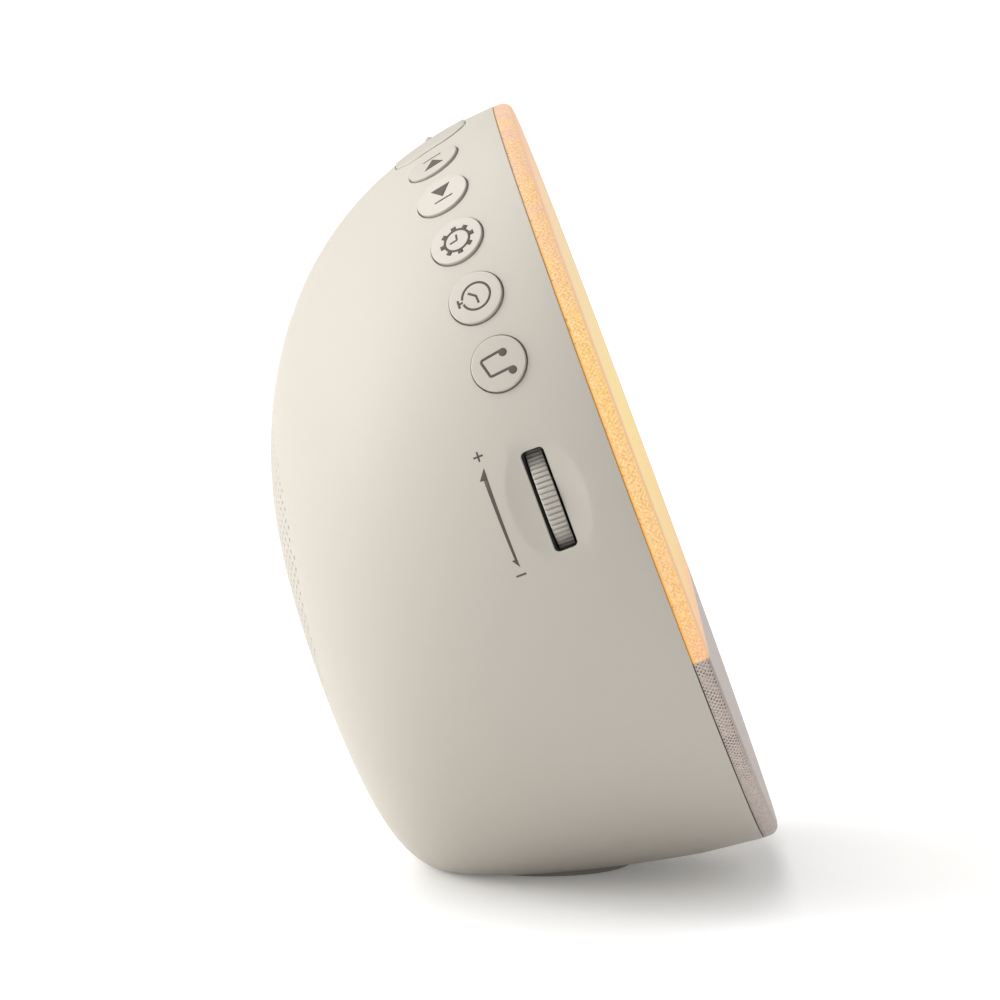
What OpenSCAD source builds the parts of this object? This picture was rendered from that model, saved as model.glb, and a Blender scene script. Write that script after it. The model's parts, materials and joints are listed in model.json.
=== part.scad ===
// Sunrise alarm clock: a fabric-covered light disc that leans back on a rounded plastic dome.
// World frame: +Z up, the face looks towards -Y, the origin is the middle of the rest face.
// Panel frame: X as the world, Y up the leaning face, Z out of the face, seam plane at Z = 0.
// "Depth" is measured from the seam plane into the dome. "Angle" is measured round the panel's
// own axis from the top, positive towards -X.

/* [Front disc] */
// Diameter of the seam between dome and cover
disc_d = 150; // [140:0.5:165]
// Lean of the face from upright
lean = 20.5; // [17:0.1:24]
// Height of the lowest point of the seam above the table
seam_clearance = 5.8; // [5.2:0.05:7]
// Depth of the fabric cover in front of the seam plane
cover_depth = 3.4; // [2.7:0.05:5]
// Radius of the cover's front edge
cover_round = 2; // [1.2:0.1:2.4]
// Thickness of the stretched fabric
fabric_t = 0.6; // [0.3:0.05:1]
// Wall of the disc behind the fabric
cover_t = 1.2; // [0.8:0.1:1.4]
// Height of the dark shadow gap at the seam
seam_gap = 0.35; // [0.3:0.05:0.8]
// How far the shadow gap lies inside the outer surface
seam_recess = 0.6; // [0.3:0.05:1]

/* [Dome] */
// Depth of the dome behind the seam plane
dome_depth = 68.6; // [62:0.2:76]
// Fullness of the dome's section, seen across the panel
dome_side_power = 3.74; // [3.2:0.02:4.2]
// Fullness of the dome's section, seen along the panel's axis
dome_back_power = 1.55; // [1.4:0.01:1.8]
// How far the section centre sinks at the back of the dome
dome_sag = 19.1; // [16:0.1:21]
// How late along the depth that sinking starts
dome_sag_power = 3.2; // [2.6:0.02:3.6]
// Wall of the dome
wall = 2.4; // [2:0.1:3]
// Thickness of the flat floor inside the dome
floor_t = 2.5; // [1.5:0.1:4]

/* [Foot] */
// Height of the dome's flat underside above the table
foot_h = 0.4; // [0.3:0.05:1]
// Thickness of the rubber foot, whose upper part sits in a recess of the dome
foot_t = 1.3; // [1.1:0.1:1.6]
// Diameter of the rubber foot
foot_d = 34; // [28:0.5:38]
// Room round the foot in its recess
foot_room = 0.3; // [0.2:0.05:0.5]
// Distance of the foot's middle behind the seam circle's middle
foot_back = 16.2; // [14:0.1:19]

/* [Keys] */
// Distance between the edges of neighbouring round keys
key_space = 3.95; // [2.9:0.05:5]
// Gap round each key in the dome
key_gap = 0.3; // [0.3:0.01:0.6]
// Depth of the ring of keys behind the seam plane
key_depth = 13.7; // [13:0.1:16]
// Angle of the first round key from the top
key_first_angle = 18.6; // [18.2:0.1:20]
// Angle between neighbouring round keys
key_step_angle = 11.15; // [11:0.05:11.8]
// Round keys on each side
key_count = 5; // [3:1:5]
// How far a key stands proud of the dome
key_proud = 0.4; // [0.3:0.05:1.2]
// Travel of every key
key_travel = 0.6; // [0.3:0.05:0.8]
// Rounding of a key's top edge
key_edge = 0.35; // [0.2:0.05:1.1]
// Thickness of the retaining flange on every key
flange_t = 0.8; // [0.6:0.05:1]
// How far the retaining flange reaches past the key
flange_reach = 0.75; // [0.6:0.05:0.8]
// Free room between the flange and the dome's inner face
flange_gap = 0.9; // [0.8:0.05:1.1]
// Diameter of a key's stem
stem_d = 2.6; // [2:0.1:3]
// Distance between the long top key and its round neighbours
bar_space = 3.8; // [3:0.1:5]
// Length of the long top key from front to back
bar_wid = 15.3; // [13:0.1:15.8]
// Corner radius of the long top key
bar_corner = 6; // [3:0.1:6.4]
// Angle of the long key's two stems from the top
bar_stem_angle = 7; // [6:0.1:8]

/* [Dimmer wheel] */
// Angle of the wheel's middle from the top
wheel_angle = 83.9; // [83:0.1:88]
// Diameter of the wheel
wheel_d = 23; // [20:0.5:26]
// Thickness of the wheel
wheel_t = 2.9; // [2.4:0.1:3]
// How far the wheel's middle lies in front of the slot's middle
wheel_forward = 0.45; // [0:0.05:0.45]
// Slot length along the arc
slot_len = 18.8; // [17:0.1:21]
// Slot width
slot_wid = 4.4; // [4.4:0.05:5]
// Corner radius of the slot
slot_corner = 0.9; // [0.4:0.1:1.6]
// Length of the shallow dish round the slot
dish_len = 23.4; // [21:0.2:24.6]
// Width of the shallow dish round the slot
dish_wid = 14.6; // [12:0.2:16]
// How far the wheel stands above the dish floor
wheel_proud = 1.1; // [0.6:0.05:1.6]
// Grip ribs round the wheel
wheel_ribs = 72; // [48:4:96]
// Depth of the grooves between the ribs
rib_depth = 0.3; // [0.1:0.02:0.4]
// Diameter of the wheel's shaft
shaft_d = 3; // [2:0.1:4]
// Running clearance of the shaft, radial
shaft_fit = 0.06; // [0.02:0.01:0.1]
// Side of the square dimmer control
pot_size = 12; // [9:0.2:13]
// Thickness of the dimmer control
pot_t = 5; // [4:0.1:6]

/* [Light box] */
// Distance of the lit area's lower edge below the disc's middle
light_edge = 31.7; // [28:0.1:36]
// Distance of the light box and the display box inside the seam circle
tray_inset = 9; // [8.5:0.5:13]
// Wall of the light box and the display box
tray_wall = 1.5; // [1:0.1:2]
// Depth of the light box
tray_depth = 5.6; // [5.2:0.1:5.8]
// Thickness of the diffuser sheet
diffuser_t = 1.1; // [0.7:0.1:1.2]
// Thickness of every circuit board
board_t = 1.2; // [0.8:0.1:1.4]
// Side of a light source
led_size = 5; // [3:0.1:6]
// Height of a light source
led_h = 1.4; // [0.8:0.1:1.7]
// Distance between light sources
led_space = 17; // [15:0.5:20]
// Depth of the front ring's sleeve in the dome
ring_depth = 3.2; // [2.4:0.1:3.4]
// Wall of the front ring's sleeve
ring_wall = 2; // [1.5:0.1:2.4]
// Width of the lip that holds the diffuser sheet
ring_lip = 2.6; // [1.5:0.1:3]
// Free room between the front ring and the dome
ring_fit = 0.4; // [0.3:0.05:0.6]

/* [Display] */
// Height of the digits behind the fabric
digit_h = 16; // [12:0.5:18]
// Width of a digit
digit_w = 9.5; // [7:0.5:10]
// Distance between digits
digit_space = 13; // [12.5:0.5:15]
// Thickness of the digit blocks
digit_t = 2; // [1:0.1:2.6]

/* [Inner frame] */
// Depth of the frame plate behind the seam plane
frame_depth = 24; // [23.5:0.1:26]
// Thickness of the frame plate
frame_t = 2; // [1.5:0.1:3]
// Distance of the frame plate inside the seam circle
frame_inset = 10.5; // [9.5:0.5:12]
// Height cut off the round frame plate for its flat lower edge
frame_flat = 10.5; // [8.5:0.5:16]
// Distance of the switch arch's inner face inside the seam circle
arch_inset = 13.2; // [12.8:0.1:15]
// Wall of the switch arch
arch_t = 2; // [1.6:0.1:2.2]
// Angle from the top that the switch arch reaches
arch_angle = 71; // [68:0.5:72]
// Thickness of the flexible switch circuit
flex_t = 0.4; // [0.2:0.05:0.5]
// Side of a key switch
switch_size = 6; // [5:0.1:6.4]
// Height of a key switch
switch_h = 2.3; // [2:0.1:2.5]
// Clearance of a stem in its switch
stem_room = 0.6; // [0.4:0.05:0.8]
// Diameter of the posts and bosses
post_d = 7; // [6:0.1:8]
// Distance of the dome's bosses inside the seam circle
boss_inset = 20; // [19:0.5:25]
// Diameter of the screw threads
screw_d = 2.6; // [2:0.1:3]
// Diameter of the screw heads
screw_head_d = 5; // [4.4:0.1:5.6]
// Length of the frame screws under the head
screw_len = 8; // [6:0.5:10]
// Length of the board screws under the head
board_screw_len = 5; // [4:0.5:6]

/* [Main board] */
// Room between the main board and the dome's bosses
main_room = 1.8; // [1.5:0.1:4]
// Height of the main board
main_h = 34; // [28:1:36]
// Distance of the main board's lower edge above the frame plate's flat edge
main_up = 4; // [2:0.5:5]
// Height of the standoffs under the main board
standoff_h = 4; // [3:0.1:5]
// Diameter of the standoffs
standoff_d = 6; // [5.6:0.1:6.4]

/* [Speaker] */
// Diameter of the speaker's frame
speaker_d = 57; // [48:0.5:58]
// Distance of the speaker's rear rim in front of the cavity's deepest point
speaker_room = 13.2; // [12.2:0.2:16]
// Depth of the speaker's basket
basket_h = 12; // [11:0.2:13]
// Height of the speaker's middle above the panel's axis
speaker_up = 4.5; // [2:0.1:6]
// Thickness of the speaker's rim
speaker_rim_t = 1.4; // [1:0.1:2]
// Diameter of the speaker's magnet
magnet_d = 30; // [24:0.5:34]
// Thickness of the speaker's magnet
magnet_t = 8; // [5:0.1:9]
// Width of the cone's free edge
surround_w = 4; // [3:0.1:5]
// Travel of the cone each way
cone_travel = 0.8; // [0.3:0.05:1]
// Rings of sound holes round the middle one
sound_rings = 5; // [4:1:5]
// Diameter of one sound hole
sound_hole_d = 0.9; // [0.7:0.05:1.4]
// Distance between sound holes
sound_space = 6.6; // [6:0.1:9]

/* [Power inlet] */
// Height of the inlet's axis above the table
jack_z = 15; // [14.5:0.1:18]
// Side of the inlet's square body
jack_size = 9; // [8.4:0.1:10]
// Length of the inlet's body
jack_len = 13; // [11:0.1:15]
// Bore for the plug
jack_bore = 6.3; // [5.7:0.05:6.5]
// Diameter of the centre pin
jack_pin_d = 2.1; // [1.6:0.05:2.5]
// Length of the centre pin in the bore
jack_pin_len = 8; // [6:0.1:9]
// Diameter of the opening in the dome for the plug's sleeve
jack_open_d = 8.6; // [7.6:0.1:9]
// Distance of the inlet's mouth in front of the dome's rear end
jack_inset = 18.8; // [17:0.1:20]

/* [Hidden] */

// Roundness of machined circles, of small holes, and of hulls
round_fn = 96;
hole_fn = 32;
// Facets of the dome: outer rings, outer sides, inner rings, inner sides
dome_rings = 22;
dome_sides = 72;
inner_rings = 14;
inner_sides = 48;
// A cutter reaches this far past the face it cuts
eps = 1;

disc_r = disc_d / 2;
disc_z = disc_r * cos(lean) + seam_clearance;
disc_y = -foot_back;
jack_back = dome_depth * cos(lean) - foot_back - jack_inset;
face_z = cover_depth - fabric_t;
inner_r = disc_r - wall;
inner_depth = dome_depth - wall;
tray_r = disc_r - tray_inset;
frame_r = disc_r - frame_inset;
frame_cut = frame_r - frame_flat;
arch_r = disc_r - arch_inset;
boss_r = disc_r - boss_inset;
boss_angle = 40;
post_angle = 30;
post_r = boss_r - post_d;

// Radius, sink and inner radius of the dome at a depth
function dome_r(n) = disc_r * pow(1 - pow(n / dome_depth, dome_back_power), 1 / dome_side_power);
function dome_drop(n) = dome_sag * pow(max(n, 0) / dome_depth, dome_sag_power);
function dome_inner_r(n) =
    inner_r * pow(1 - pow(n / inner_depth, dome_back_power), 1 / dome_side_power);
// Slope of the dome's section at a depth, as a rise over a small step
slope_step = 0.5;
function dome_slope(n) = (dome_r(n - slope_step) - dome_r(n + slope_step)) / (2 * slope_step);
function drop_slope(n) = (dome_drop(n + slope_step) - dome_drop(n - slope_step)) / (2 * slope_step);
// Backward tilt of the dome's outward normal at an angle
function key_tilt(angle) = atan(dome_slope(key_depth) + drop_slope(key_depth) * cos(angle));

// Key layout: height levels along a key's own axis, zero on the dome's surface
key_ring_r = dome_r(key_depth);
key_d = 2 * key_ring_r * sin(key_step_angle / 2) - key_space;
flange_top = -(wall + flange_gap);
flange_bottom = flange_top - flange_t;
arch_top = arch_r + arch_t;
switch_base_r = arch_top + flex_t;
switch_top_r = switch_base_r + switch_h;
// A stem ends this far inside its switch at rest, and the pocket is deeper than the travel
stem_engage = 0.5;
stem_floor = 0.65;
stem_end = -(key_ring_r - switch_top_r + stem_engage) / cos(key_tilt(90));
key_hole_d = key_d + 2 * key_gap;
key_crown = 0.1;
bar_len = round(20 * (key_ring_r * sin(key_first_angle) - key_d / 2 - bar_space)) / 10;
switch_depth = key_depth + (stem_end + stem_engage) * sin(key_tilt(45));
// The arch stops short of the switches' front faces; a switch is sunk slightly into its circuit
arch_short = 0.5;
arch_depth = frame_depth - (key_depth - switch_size) - arch_short;
switch_sunk = 0.05;
key_colour = [0.91, 0.88, 0.84];

// Wheel layout, on the radius at the wheel's angle
slot_depth = key_depth;
wheel_depth = slot_depth - wheel_forward;
wheel_surface_r = dome_r(slot_depth);
dish_deep = pow(dish_len / 2, 2) / (2 * wheel_surface_r);
dish_cut_r = pow(dish_wid / 2, 2) / (2 * dish_deep);
wheel_axis_r = wheel_surface_r - dish_deep + wheel_proud - wheel_d / 2;
wheel_tilt = atan(dome_slope(slot_depth));
// Room between the wheel and its control, and the depth of the control's rear face
wheel_room = 1;
pot_back = wheel_depth + wheel_t / 2 + wheel_room + pot_t;
pot_margin = 2;
shaft_len = wheel_t + wheel_room + pot_t * 0.8;
rib_angle = 360 / wheel_ribs;

// Front stack, as heights in the panel frame
diffuser_back = -diffuser_t;
tray_back = diffuser_back - tray_depth;
tray_floor = tray_back + tray_wall;
sleeve_r = dome_inner_r(ring_depth) - dome_drop(ring_depth) - ring_fit;
ring_inner_r = sleeve_r - ring_wall;
digit_y = -(light_edge + frame_cut) / 2 - 1;
colon_d = 2;
pair_gap = 1;
display_margin = 4;
display_low = tray_r - display_margin;

// Main board behind the frame plate
main_w = 2 * (boss_r * sin(boss_angle) - post_d / 2 - main_room);
main_low = frame_cut - main_up - main_h / 2;
main_z = -frame_depth - frame_t - standoff_h;
screw_room = 0.3;
magnet_room = 2;
chip_h = 1.4;
capacitor_d = 6;
capacitor_h = 8;
plug_w = 7;
plug_d = 4.5;
plug_h = 4;

// Speaker stack, as depths
speaker_depth = inner_depth - speaker_room;
basket_depth = speaker_depth - basket_h;
basket_t = 1;
leg_t = 1.4;
leg_w = 6;
rim_w = 2.5;
edge_gap = 0.4;
edge_t = 0.4;
edge_rise = surround_w * 0.35;
cone_r = speaker_d / 2 - rim_w - surround_w;
cone_t = 0.6;
cone_front = 1.2;
coil_r = magnet_d / 6;
edge_middle = cone_r + surround_w / 2 + edge_gap;
coil_end = basket_h - cone_travel - edge_gap;
gasket_w = 2;

module panel() {
    translate([0, disc_y, disc_z]) rotate([90 - lean, 0, 0]) children();
}

// A place on the dome at the key ring: x along the arc, y towards the back, z outward
module on_ring(angle, tilt) {
    translate([-key_ring_r * sin(angle), key_ring_r * cos(angle) - dome_drop(key_depth), -key_depth])
        rotate([0, 0, angle]) rotate([-90 - tilt, 0, 0]) children();
}

// A place at a radius and depth: x along the arc, y towards the back, z outward
module at_radius(angle, radius, depth) {
    rotate([0, 0, angle]) translate([0, radius, -depth]) rotate([-90, 0, 0]) children();
}

module rounded_rect(len, wid, r) {
    square([len - 2 * r, wid], center = true);
    square([len, wid - 2 * r], center = true);
    for (x = [-1, 1], y = [-1, 1])
        translate([x * (len / 2 - r), y * (wid / 2 - r)]) circle(r, $fn = hole_fn);
}

// The dome's closed solid: circular rings whose centres sink towards the back
module dome_solid(r, depth, front, rings, sides) {
    ring_list = concat([[r, -front]],
        [for (i = [(front > 0 ? 0 : 1) : rings - 1])
            let (t = 90 * i / rings)
            [r * pow(cos(t), 2 / dome_side_power), depth * pow(sin(t), 2 / dome_back_power)]]);
    count = len(ring_list);
    points = concat(
        [for (ring = ring_list, j = [0 : sides - 1])
            let (a = 360 * j / sides)
            [ring[0] * sin(a), ring[0] * cos(a) - dome_drop(ring[1]), -ring[1]]],
        [[0, 0, front], [0, -dome_drop(depth), -depth]]);
    cap = count * sides;
    pole = cap + 1;
    faces = concat(
        [for (j = [0 : sides - 1]) [cap, j, (j + 1) % sides]],
        [for (i = [0 : count - 2], j = [0 : sides - 1])
            let (a = i * sides + j, b = i * sides + (j + 1) % sides)
            [b, a, a + sides, b + sides]],
        [for (j = [0 : sides - 1])
            let (last = (count - 1) * sides)
            [last + (j + 1) % sides, last + j, pole]]);
    polyhedron(points, faces, convexity = 4);
}

module dome_outer() {
    panel() dome_solid(disc_r, dome_depth, 0, dome_rings, dome_sides);
}

module dome_inner() {
    panel() dome_solid(inner_r, inner_depth, eps, inner_rings, inner_sides);
}

module wheel_place() {
    at_radius(wheel_angle, wheel_surface_r, slot_depth) children();
}

// Hexagonal field of sound holes round the speaker's axis
module sound_holes() {
    reach = 2 * sound_rings;
    row = sound_space * sin(60);
    for (i = [-reach : reach], j = [-reach : reach]) {
        x = (i + (j % 2 == 0 ? 0 : 0.5)) * sound_space;
        y = j * row;
        if (norm([x, y]) < (sound_rings + 0.5) * sound_space)
            translate([x, y + speaker_up, -dome_depth - eps])
                cylinder(d = sound_hole_d, h = dome_depth - speaker_depth + eps, $fn = 16);
    }
}

module boss_places() {
    for (side = [-1, 1], a = [boss_angle, 180 - boss_angle])
        rotate([0, 0, side * a]) translate([0, boss_r, 0]) children();
}

module rear_shell() color([0.90, 0.88, 0.84]) {
    difference() {
        union() {
            difference() {
                dome_outer();
                dome_inner();
            }
            intersection() {
                dome_outer();
                union() {
                    translate([-disc_r, -disc_d, 0]) cube([disc_d, 2 * disc_d, foot_h + floor_t]);
                    panel() boss_places() translate([0, 0, -dome_depth])
                        cylinder(d = post_d, h = dome_depth - frame_depth - frame_t, $fn = hole_fn);
                    translate([0, jack_back - jack_len / 2, jack_z])
                        cube([jack_size + 2 * wall, jack_len, jack_size + 2 * wall], center = true);
                    translate([-jack_size / 2 - wall, jack_back - eps, jack_z - jack_size / 2 - wall])
                        cube([jack_size + 2 * wall, dome_depth, jack_size + 2 * wall]);
                }
            }
        }
        // flat underside and the foot's recess
        translate([-disc_d, -disc_d, -disc_d + foot_h]) cube([2 * disc_d, 2 * disc_d, disc_d]);
        cylinder(d = foot_d + 2 * foot_room, h = foot_t, $fn = round_fn);
        panel() {
            for (side = [-1, 1], i = [0 : key_count - 1]) {
                angle = side * (key_first_angle + i * key_step_angle);
                on_ring(angle, key_tilt(angle)) translate([0, 0, -2 * wall])
                    cylinder(d = key_hole_d, h = 4 * wall, $fn = round_fn);
            }
            on_ring(0, key_tilt(0)) translate([0, 0, -2 * wall]) linear_extrude(4 * wall)
                rounded_rect(bar_len + 2 * key_gap, bar_wid + 2 * key_gap, bar_corner + key_gap);
            wheel_place() {
                translate([0, 0, -2 * wall]) linear_extrude(4 * wall)
                    rounded_rect(slot_len, slot_wid, slot_corner);
                rotate([-wheel_tilt, 0, 0]) translate([-dish_len, 0, dish_cut_r - dish_deep])
                    rotate([0, 90, 0]) cylinder(r = dish_cut_r, h = 2 * dish_len, $fn = 4 * round_fn);
            }
            boss_places() translate([0, 0, -frame_depth - frame_t - screw_len])
                cylinder(d = screw_d, h = screw_len + eps, $fn = hole_fn);
        }
        // pocket and opening of the power inlet
        translate([0, jack_back, jack_z]) rotate([90, 0, 0])
            translate([0, 0, -dome_depth]) cylinder(d = jack_open_d, h = dome_depth + eps, $fn = round_fn);
        translate([0, jack_back - jack_len, jack_z])
            cube([jack_size, 2 * jack_len, jack_size], center = true);
    }
}

module rubber_foot() color([0.35, 0.34, 0.33]) cylinder(d = foot_d, h = foot_t, $fn = round_fn);

module front_ring() color([0.20, 0.18, 0.17]) panel() rotate_extrude($fn = 2 * round_fn)
    polygon([[ring_inner_r, -ring_depth], [sleeve_r, -ring_depth], [sleeve_r, 0],
        [disc_r - seam_recess, 0], [disc_r - seam_recess, seam_gap],
        [ring_inner_r - ring_lip, seam_gap], [ring_inner_r - ring_lip, 0], [ring_inner_r, 0]]);

// Section of a shallow cup with a rounded front edge
function cup_edge(r, top, corner) = [for (i = [0 : 8]) let (a = 90 * i / 8)
    [r - corner + corner * cos(a), top - corner + corner * sin(a)]];

module cover_disc() color([0.96, 0.93, 0.86]) panel() rotate_extrude($fn = 2 * round_fn)
    polygon(concat([[0, face_z - cover_t], [sleeve_r - ring_wall, face_z - cover_t],
        [sleeve_r - ring_wall, seam_gap], [disc_r - fabric_t, seam_gap]],
        cup_edge(disc_r - fabric_t, face_z, cover_round - fabric_t), [[0, face_z]]));

module fabric_cover() color([0.93, 0.78, 0.58]) panel() rotate_extrude($fn = 2 * round_fn)
    polygon(concat([[disc_r - fabric_t, seam_gap], [disc_r, seam_gap]],
        cup_edge(disc_r, cover_depth, cover_round), [[0, cover_depth], [0, face_z]],
        [for (i = [8 : -1 : 0]) cup_edge(disc_r - fabric_t, face_z, cover_round - fabric_t)[i]]));

module diffuser_sheet() color([0.98, 0.97, 0.94]) panel() translate([0, 0, diffuser_back])
    cylinder(r = ring_inner_r - ring_fit, h = diffuser_t, $fn = 2 * round_fn);

// A disc of a radius between two heights across the panel, from one Z to another
module disc_band(r, low, high, z0, z1) {
    intersection() {
        translate([0, 0, z0]) cylinder(r = r, h = z1 - z0, $fn = 2 * round_fn);
        translate([-disc_r, low, z0]) cube([disc_d, high - low, z1 - z0]);
    }
}

module light_tray() color([0.97, 0.97, 0.96]) panel() difference() {
    disc_band(tray_r, -light_edge, disc_r, tray_back, diffuser_back);
    disc_band(tray_r - tray_wall, -light_edge + tray_wall, disc_r, tray_floor, diffuser_back + eps);
}

module led_board() color([0.93, 0.93, 0.90]) panel()
    disc_band(tray_r - tray_wall - ring_fit, -light_edge + tray_wall + ring_fit, disc_r,
        tray_floor, tray_floor + board_t);

module led_chips() color([1.0, 0.93, 0.70]) panel() {
    reach = ceil(disc_r / led_space);
    for (i = [-reach : reach], j = [-reach : reach]) {
        x = i * led_space;
        y = j * led_space;
        if (norm([x, y]) < tray_r - led_size - tray_wall && y > led_size - light_edge)
            translate([x - led_size / 2, y - led_size / 2, tray_floor + board_t])
                cube([led_size, led_size, led_h]);
    }
}

module display_box() color([0.12, 0.12, 0.13]) panel() difference() {
    disc_band(tray_r, -display_low, -light_edge, tray_back, diffuser_back);
    disc_band(tray_r - tray_wall, -display_low + tray_wall, -light_edge - tray_wall,
        tray_floor, diffuser_back + eps);
}

module display_board() color([0.10, 0.30, 0.18]) panel()
    disc_band(tray_r - 2 * tray_wall - digit_h / 2, -display_low + tray_wall + ring_fit,
        -light_edge - tray_wall - ring_fit, tray_floor, tray_floor + board_t);

// Four digit blocks with a colon between the pairs
module display_digits() color([0.85, 0.20, 0.12]) panel()
    translate([0, digit_y, tray_floor + board_t]) {
        for (i = [-1.5, -0.5, 0.5, 1.5])
            translate([i * digit_space + sign(i) * pair_gap - digit_w / 2, -digit_h / 2, 0])
                cube([digit_w, digit_h, digit_t]);
        for (y = [-1, 1]) translate([0, y * digit_h / 4, 0])
            cylinder(d = colon_d, h = digit_t, $fn = hole_fn);
    }

// Posts of the inner frame that carry the light box
module post_places() {
    for (side = [-1, 1], a = [post_angle, 180 - post_angle])
        rotate([0, 0, side * a]) translate([0, post_r, 0]) children();
}

module standoff_places() {
    for (x = [-1, 1], y = [-1, 1])
        translate([x * (main_w - standoff_d) / 2, y * (main_h - standoff_d) / 2 - main_low, 0])
            children();
}

module inner_frame() color([0.80, 0.80, 0.79]) panel() difference() {
    union() {
        disc_band(frame_r, -frame_cut, disc_r, -frame_depth - frame_t, -frame_depth);
        post_places() translate([0, 0, -frame_depth - frame_t])
            cylinder(d = post_d, h = frame_depth + frame_t + tray_back, $fn = hole_fn);
        standoff_places() translate([0, 0, -frame_depth - frame_t - standoff_h])
            cylinder(d = standoff_d, h = standoff_h + frame_t, $fn = hole_fn);
        at_radius(wheel_angle, wheel_axis_r, 0) translate([0, frame_depth, 0])
            rotate([90, 0, 0])
                translate([pot_margin - pot_size / 2, pot_margin - pot_size / 2, -frame_t])
                    cube([pot_size - 2 * pot_margin, pot_size - 2 * pot_margin,
                        frame_depth + frame_t - pot_back]);
    }
    boss_places() translate([0, 0, -frame_depth - frame_t - eps])
        cylinder(d = screw_d + 2 * screw_room, h = frame_t + 2 * eps, $fn = hole_fn);
    translate([0, speaker_up, -frame_depth - frame_t - eps])
        cylinder(d = magnet_d + 2 * magnet_room, h = frame_t + 2 * eps, $fn = round_fn);
    standoff_places() translate([0, 0, -frame_depth - frame_t - standoff_h - eps])
        cylinder(d = screw_d, h = standoff_h + frame_t + eps, $fn = hole_fn);
}

// A pan-head screw that points towards -Z
module screw(len) {
    head_h = screw_head_d * 0.4;
    difference() {
        union() {
            cylinder(d = screw_head_d, h = head_h, $fn = hole_fn);
            translate([0, 0, -len]) cylinder(d = screw_d, h = len, $fn = hole_fn);
        }
        for (a = [0, 90]) rotate([0, 0, a]) translate([0, 0, head_h])
            cube([screw_head_d * 0.6, 0.6, 1], center = true);
    }
}

module frame_screws() color([0.62, 0.62, 0.64]) panel()
    boss_places() translate([0, 0, -frame_depth]) screw(screw_len);

module switch_arch() color([0.80, 0.80, 0.79]) panel() rotate([0, 0, 90 - arch_angle])
    translate([0, 0, -frame_depth]) rotate_extrude(angle = 2 * arch_angle, $fn = 2 * round_fn)
        translate([arch_r, 0]) square([arch_t, arch_depth]);

module switch_circuit() color([0.80, 0.50, 0.20]) panel() rotate([0, 0, 90 - arch_angle])
    translate([0, 0, -frame_depth]) rotate_extrude(angle = 2 * arch_angle, $fn = 2 * round_fn)
        translate([arch_top, 0]) square([flex_t, arch_depth]);

// One key switch: a square housing with a pocket that a stem enters
module key_switch(angle, depth) {
    at_radius(angle, switch_base_r, depth) difference() {
        translate([-switch_size / 2, -switch_size / 2, -switch_sunk])
            cube([switch_size, switch_size, switch_h + switch_sunk]);
        translate([0, 0, switch_h - stem_engage - key_travel - stem_floor])
            cylinder(d = stem_d + 2 * stem_room, h = switch_h, $fn = hole_fn);
    }
}

module key_switches() color([0.15, 0.15, 0.16]) panel() {
    for (side = [-1, 1], i = [0 : key_count - 1])
        key_switch(side * (key_first_angle + i * key_step_angle), switch_depth);
    for (side = [-1, 1]) key_switch(side * bar_stem_angle, switch_depth);
}

// A round key: crowned cap with a rounded edge, retaining flange and stem
module round_key(angle) panel() on_ring(angle, key_tilt(angle)) rotate_extrude($fn = round_fn)
    polygon(concat([[0, stem_end], [stem_d / 2, stem_end], [stem_d / 2, flange_bottom],
        [key_d / 2 + flange_reach, flange_bottom], [key_d / 2 + flange_reach, flange_top],
        [key_d / 2, flange_top]],
        [for (i = [0 : 6]) let (a = 90 * i / 6)
            [key_d / 2 - key_edge + key_edge * cos(a), key_proud - key_edge + key_edge * sin(a)]],
        [[0, key_proud + key_crown]]));

// Ring that follows the dome's top line between two heights above its surface
module top_band(low, high) {
    reach = bar_wid * 0.85;
    steps = 10;
    depths = [for (i = [0 : steps]) key_depth - reach + 2 * reach * i / steps];
    rotate_extrude($fn = 2 * round_fn)
        polygon(concat(
            [for (n = depths) [dome_r(n) - dome_drop(n) + high, -n]],
            [for (i = [steps : -1 : 0]) [dome_r(depths[i]) - dome_drop(depths[i]) + low, -depths[i]]]));
}

module snooze_bar() color([0.90, 0.88, 0.84]) panel() {
    intersection() {
        on_ring(0, key_tilt(0)) translate([0, 0, -4 * wall]) linear_extrude(8 * wall)
            rounded_rect(bar_len, bar_wid, bar_corner);
        top_band(flange_bottom, key_proud);
    }
    intersection() {
        on_ring(0, key_tilt(0)) translate([0, 0, -4 * wall]) linear_extrude(8 * wall)
            rounded_rect(bar_len + 2 * flange_reach, bar_wid + 2 * flange_reach,
                bar_corner + flange_reach);
        top_band(flange_bottom, flange_top);
    }
    for (side = [-1, 1]) on_ring(side * bar_stem_angle, key_tilt(0))
        translate([0, 0, stem_end]) cylinder(d = stem_d, h = -stem_end + flange_top, $fn = hole_fn);
}

module key_next() color(key_colour) round_key(key_first_angle);
module key_previous() color(key_colour) round_key(key_first_angle + key_step_angle);
module key_settings() color(key_colour) round_key(key_first_angle + 2 * key_step_angle);
module key_timer() color(key_colour) round_key(key_first_angle + 3 * key_step_angle);
module key_music() color(key_colour) round_key(key_first_angle + 4 * key_step_angle);
module key_light() color(key_colour) round_key(-key_first_angle);
module key_louder() color(key_colour) round_key(-key_first_angle - key_step_angle);
module key_quieter() color(key_colour) round_key(-key_first_angle - 2 * key_step_angle);
module key_alarm() color(key_colour) round_key(-key_first_angle - 3 * key_step_angle);
module key_sleep() color(key_colour) round_key(-key_first_angle - 4 * key_step_angle);

module wheel_axis() {
    rotate([0, 0, wheel_angle]) translate([0, wheel_axis_r, -wheel_depth]) children();
}

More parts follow.
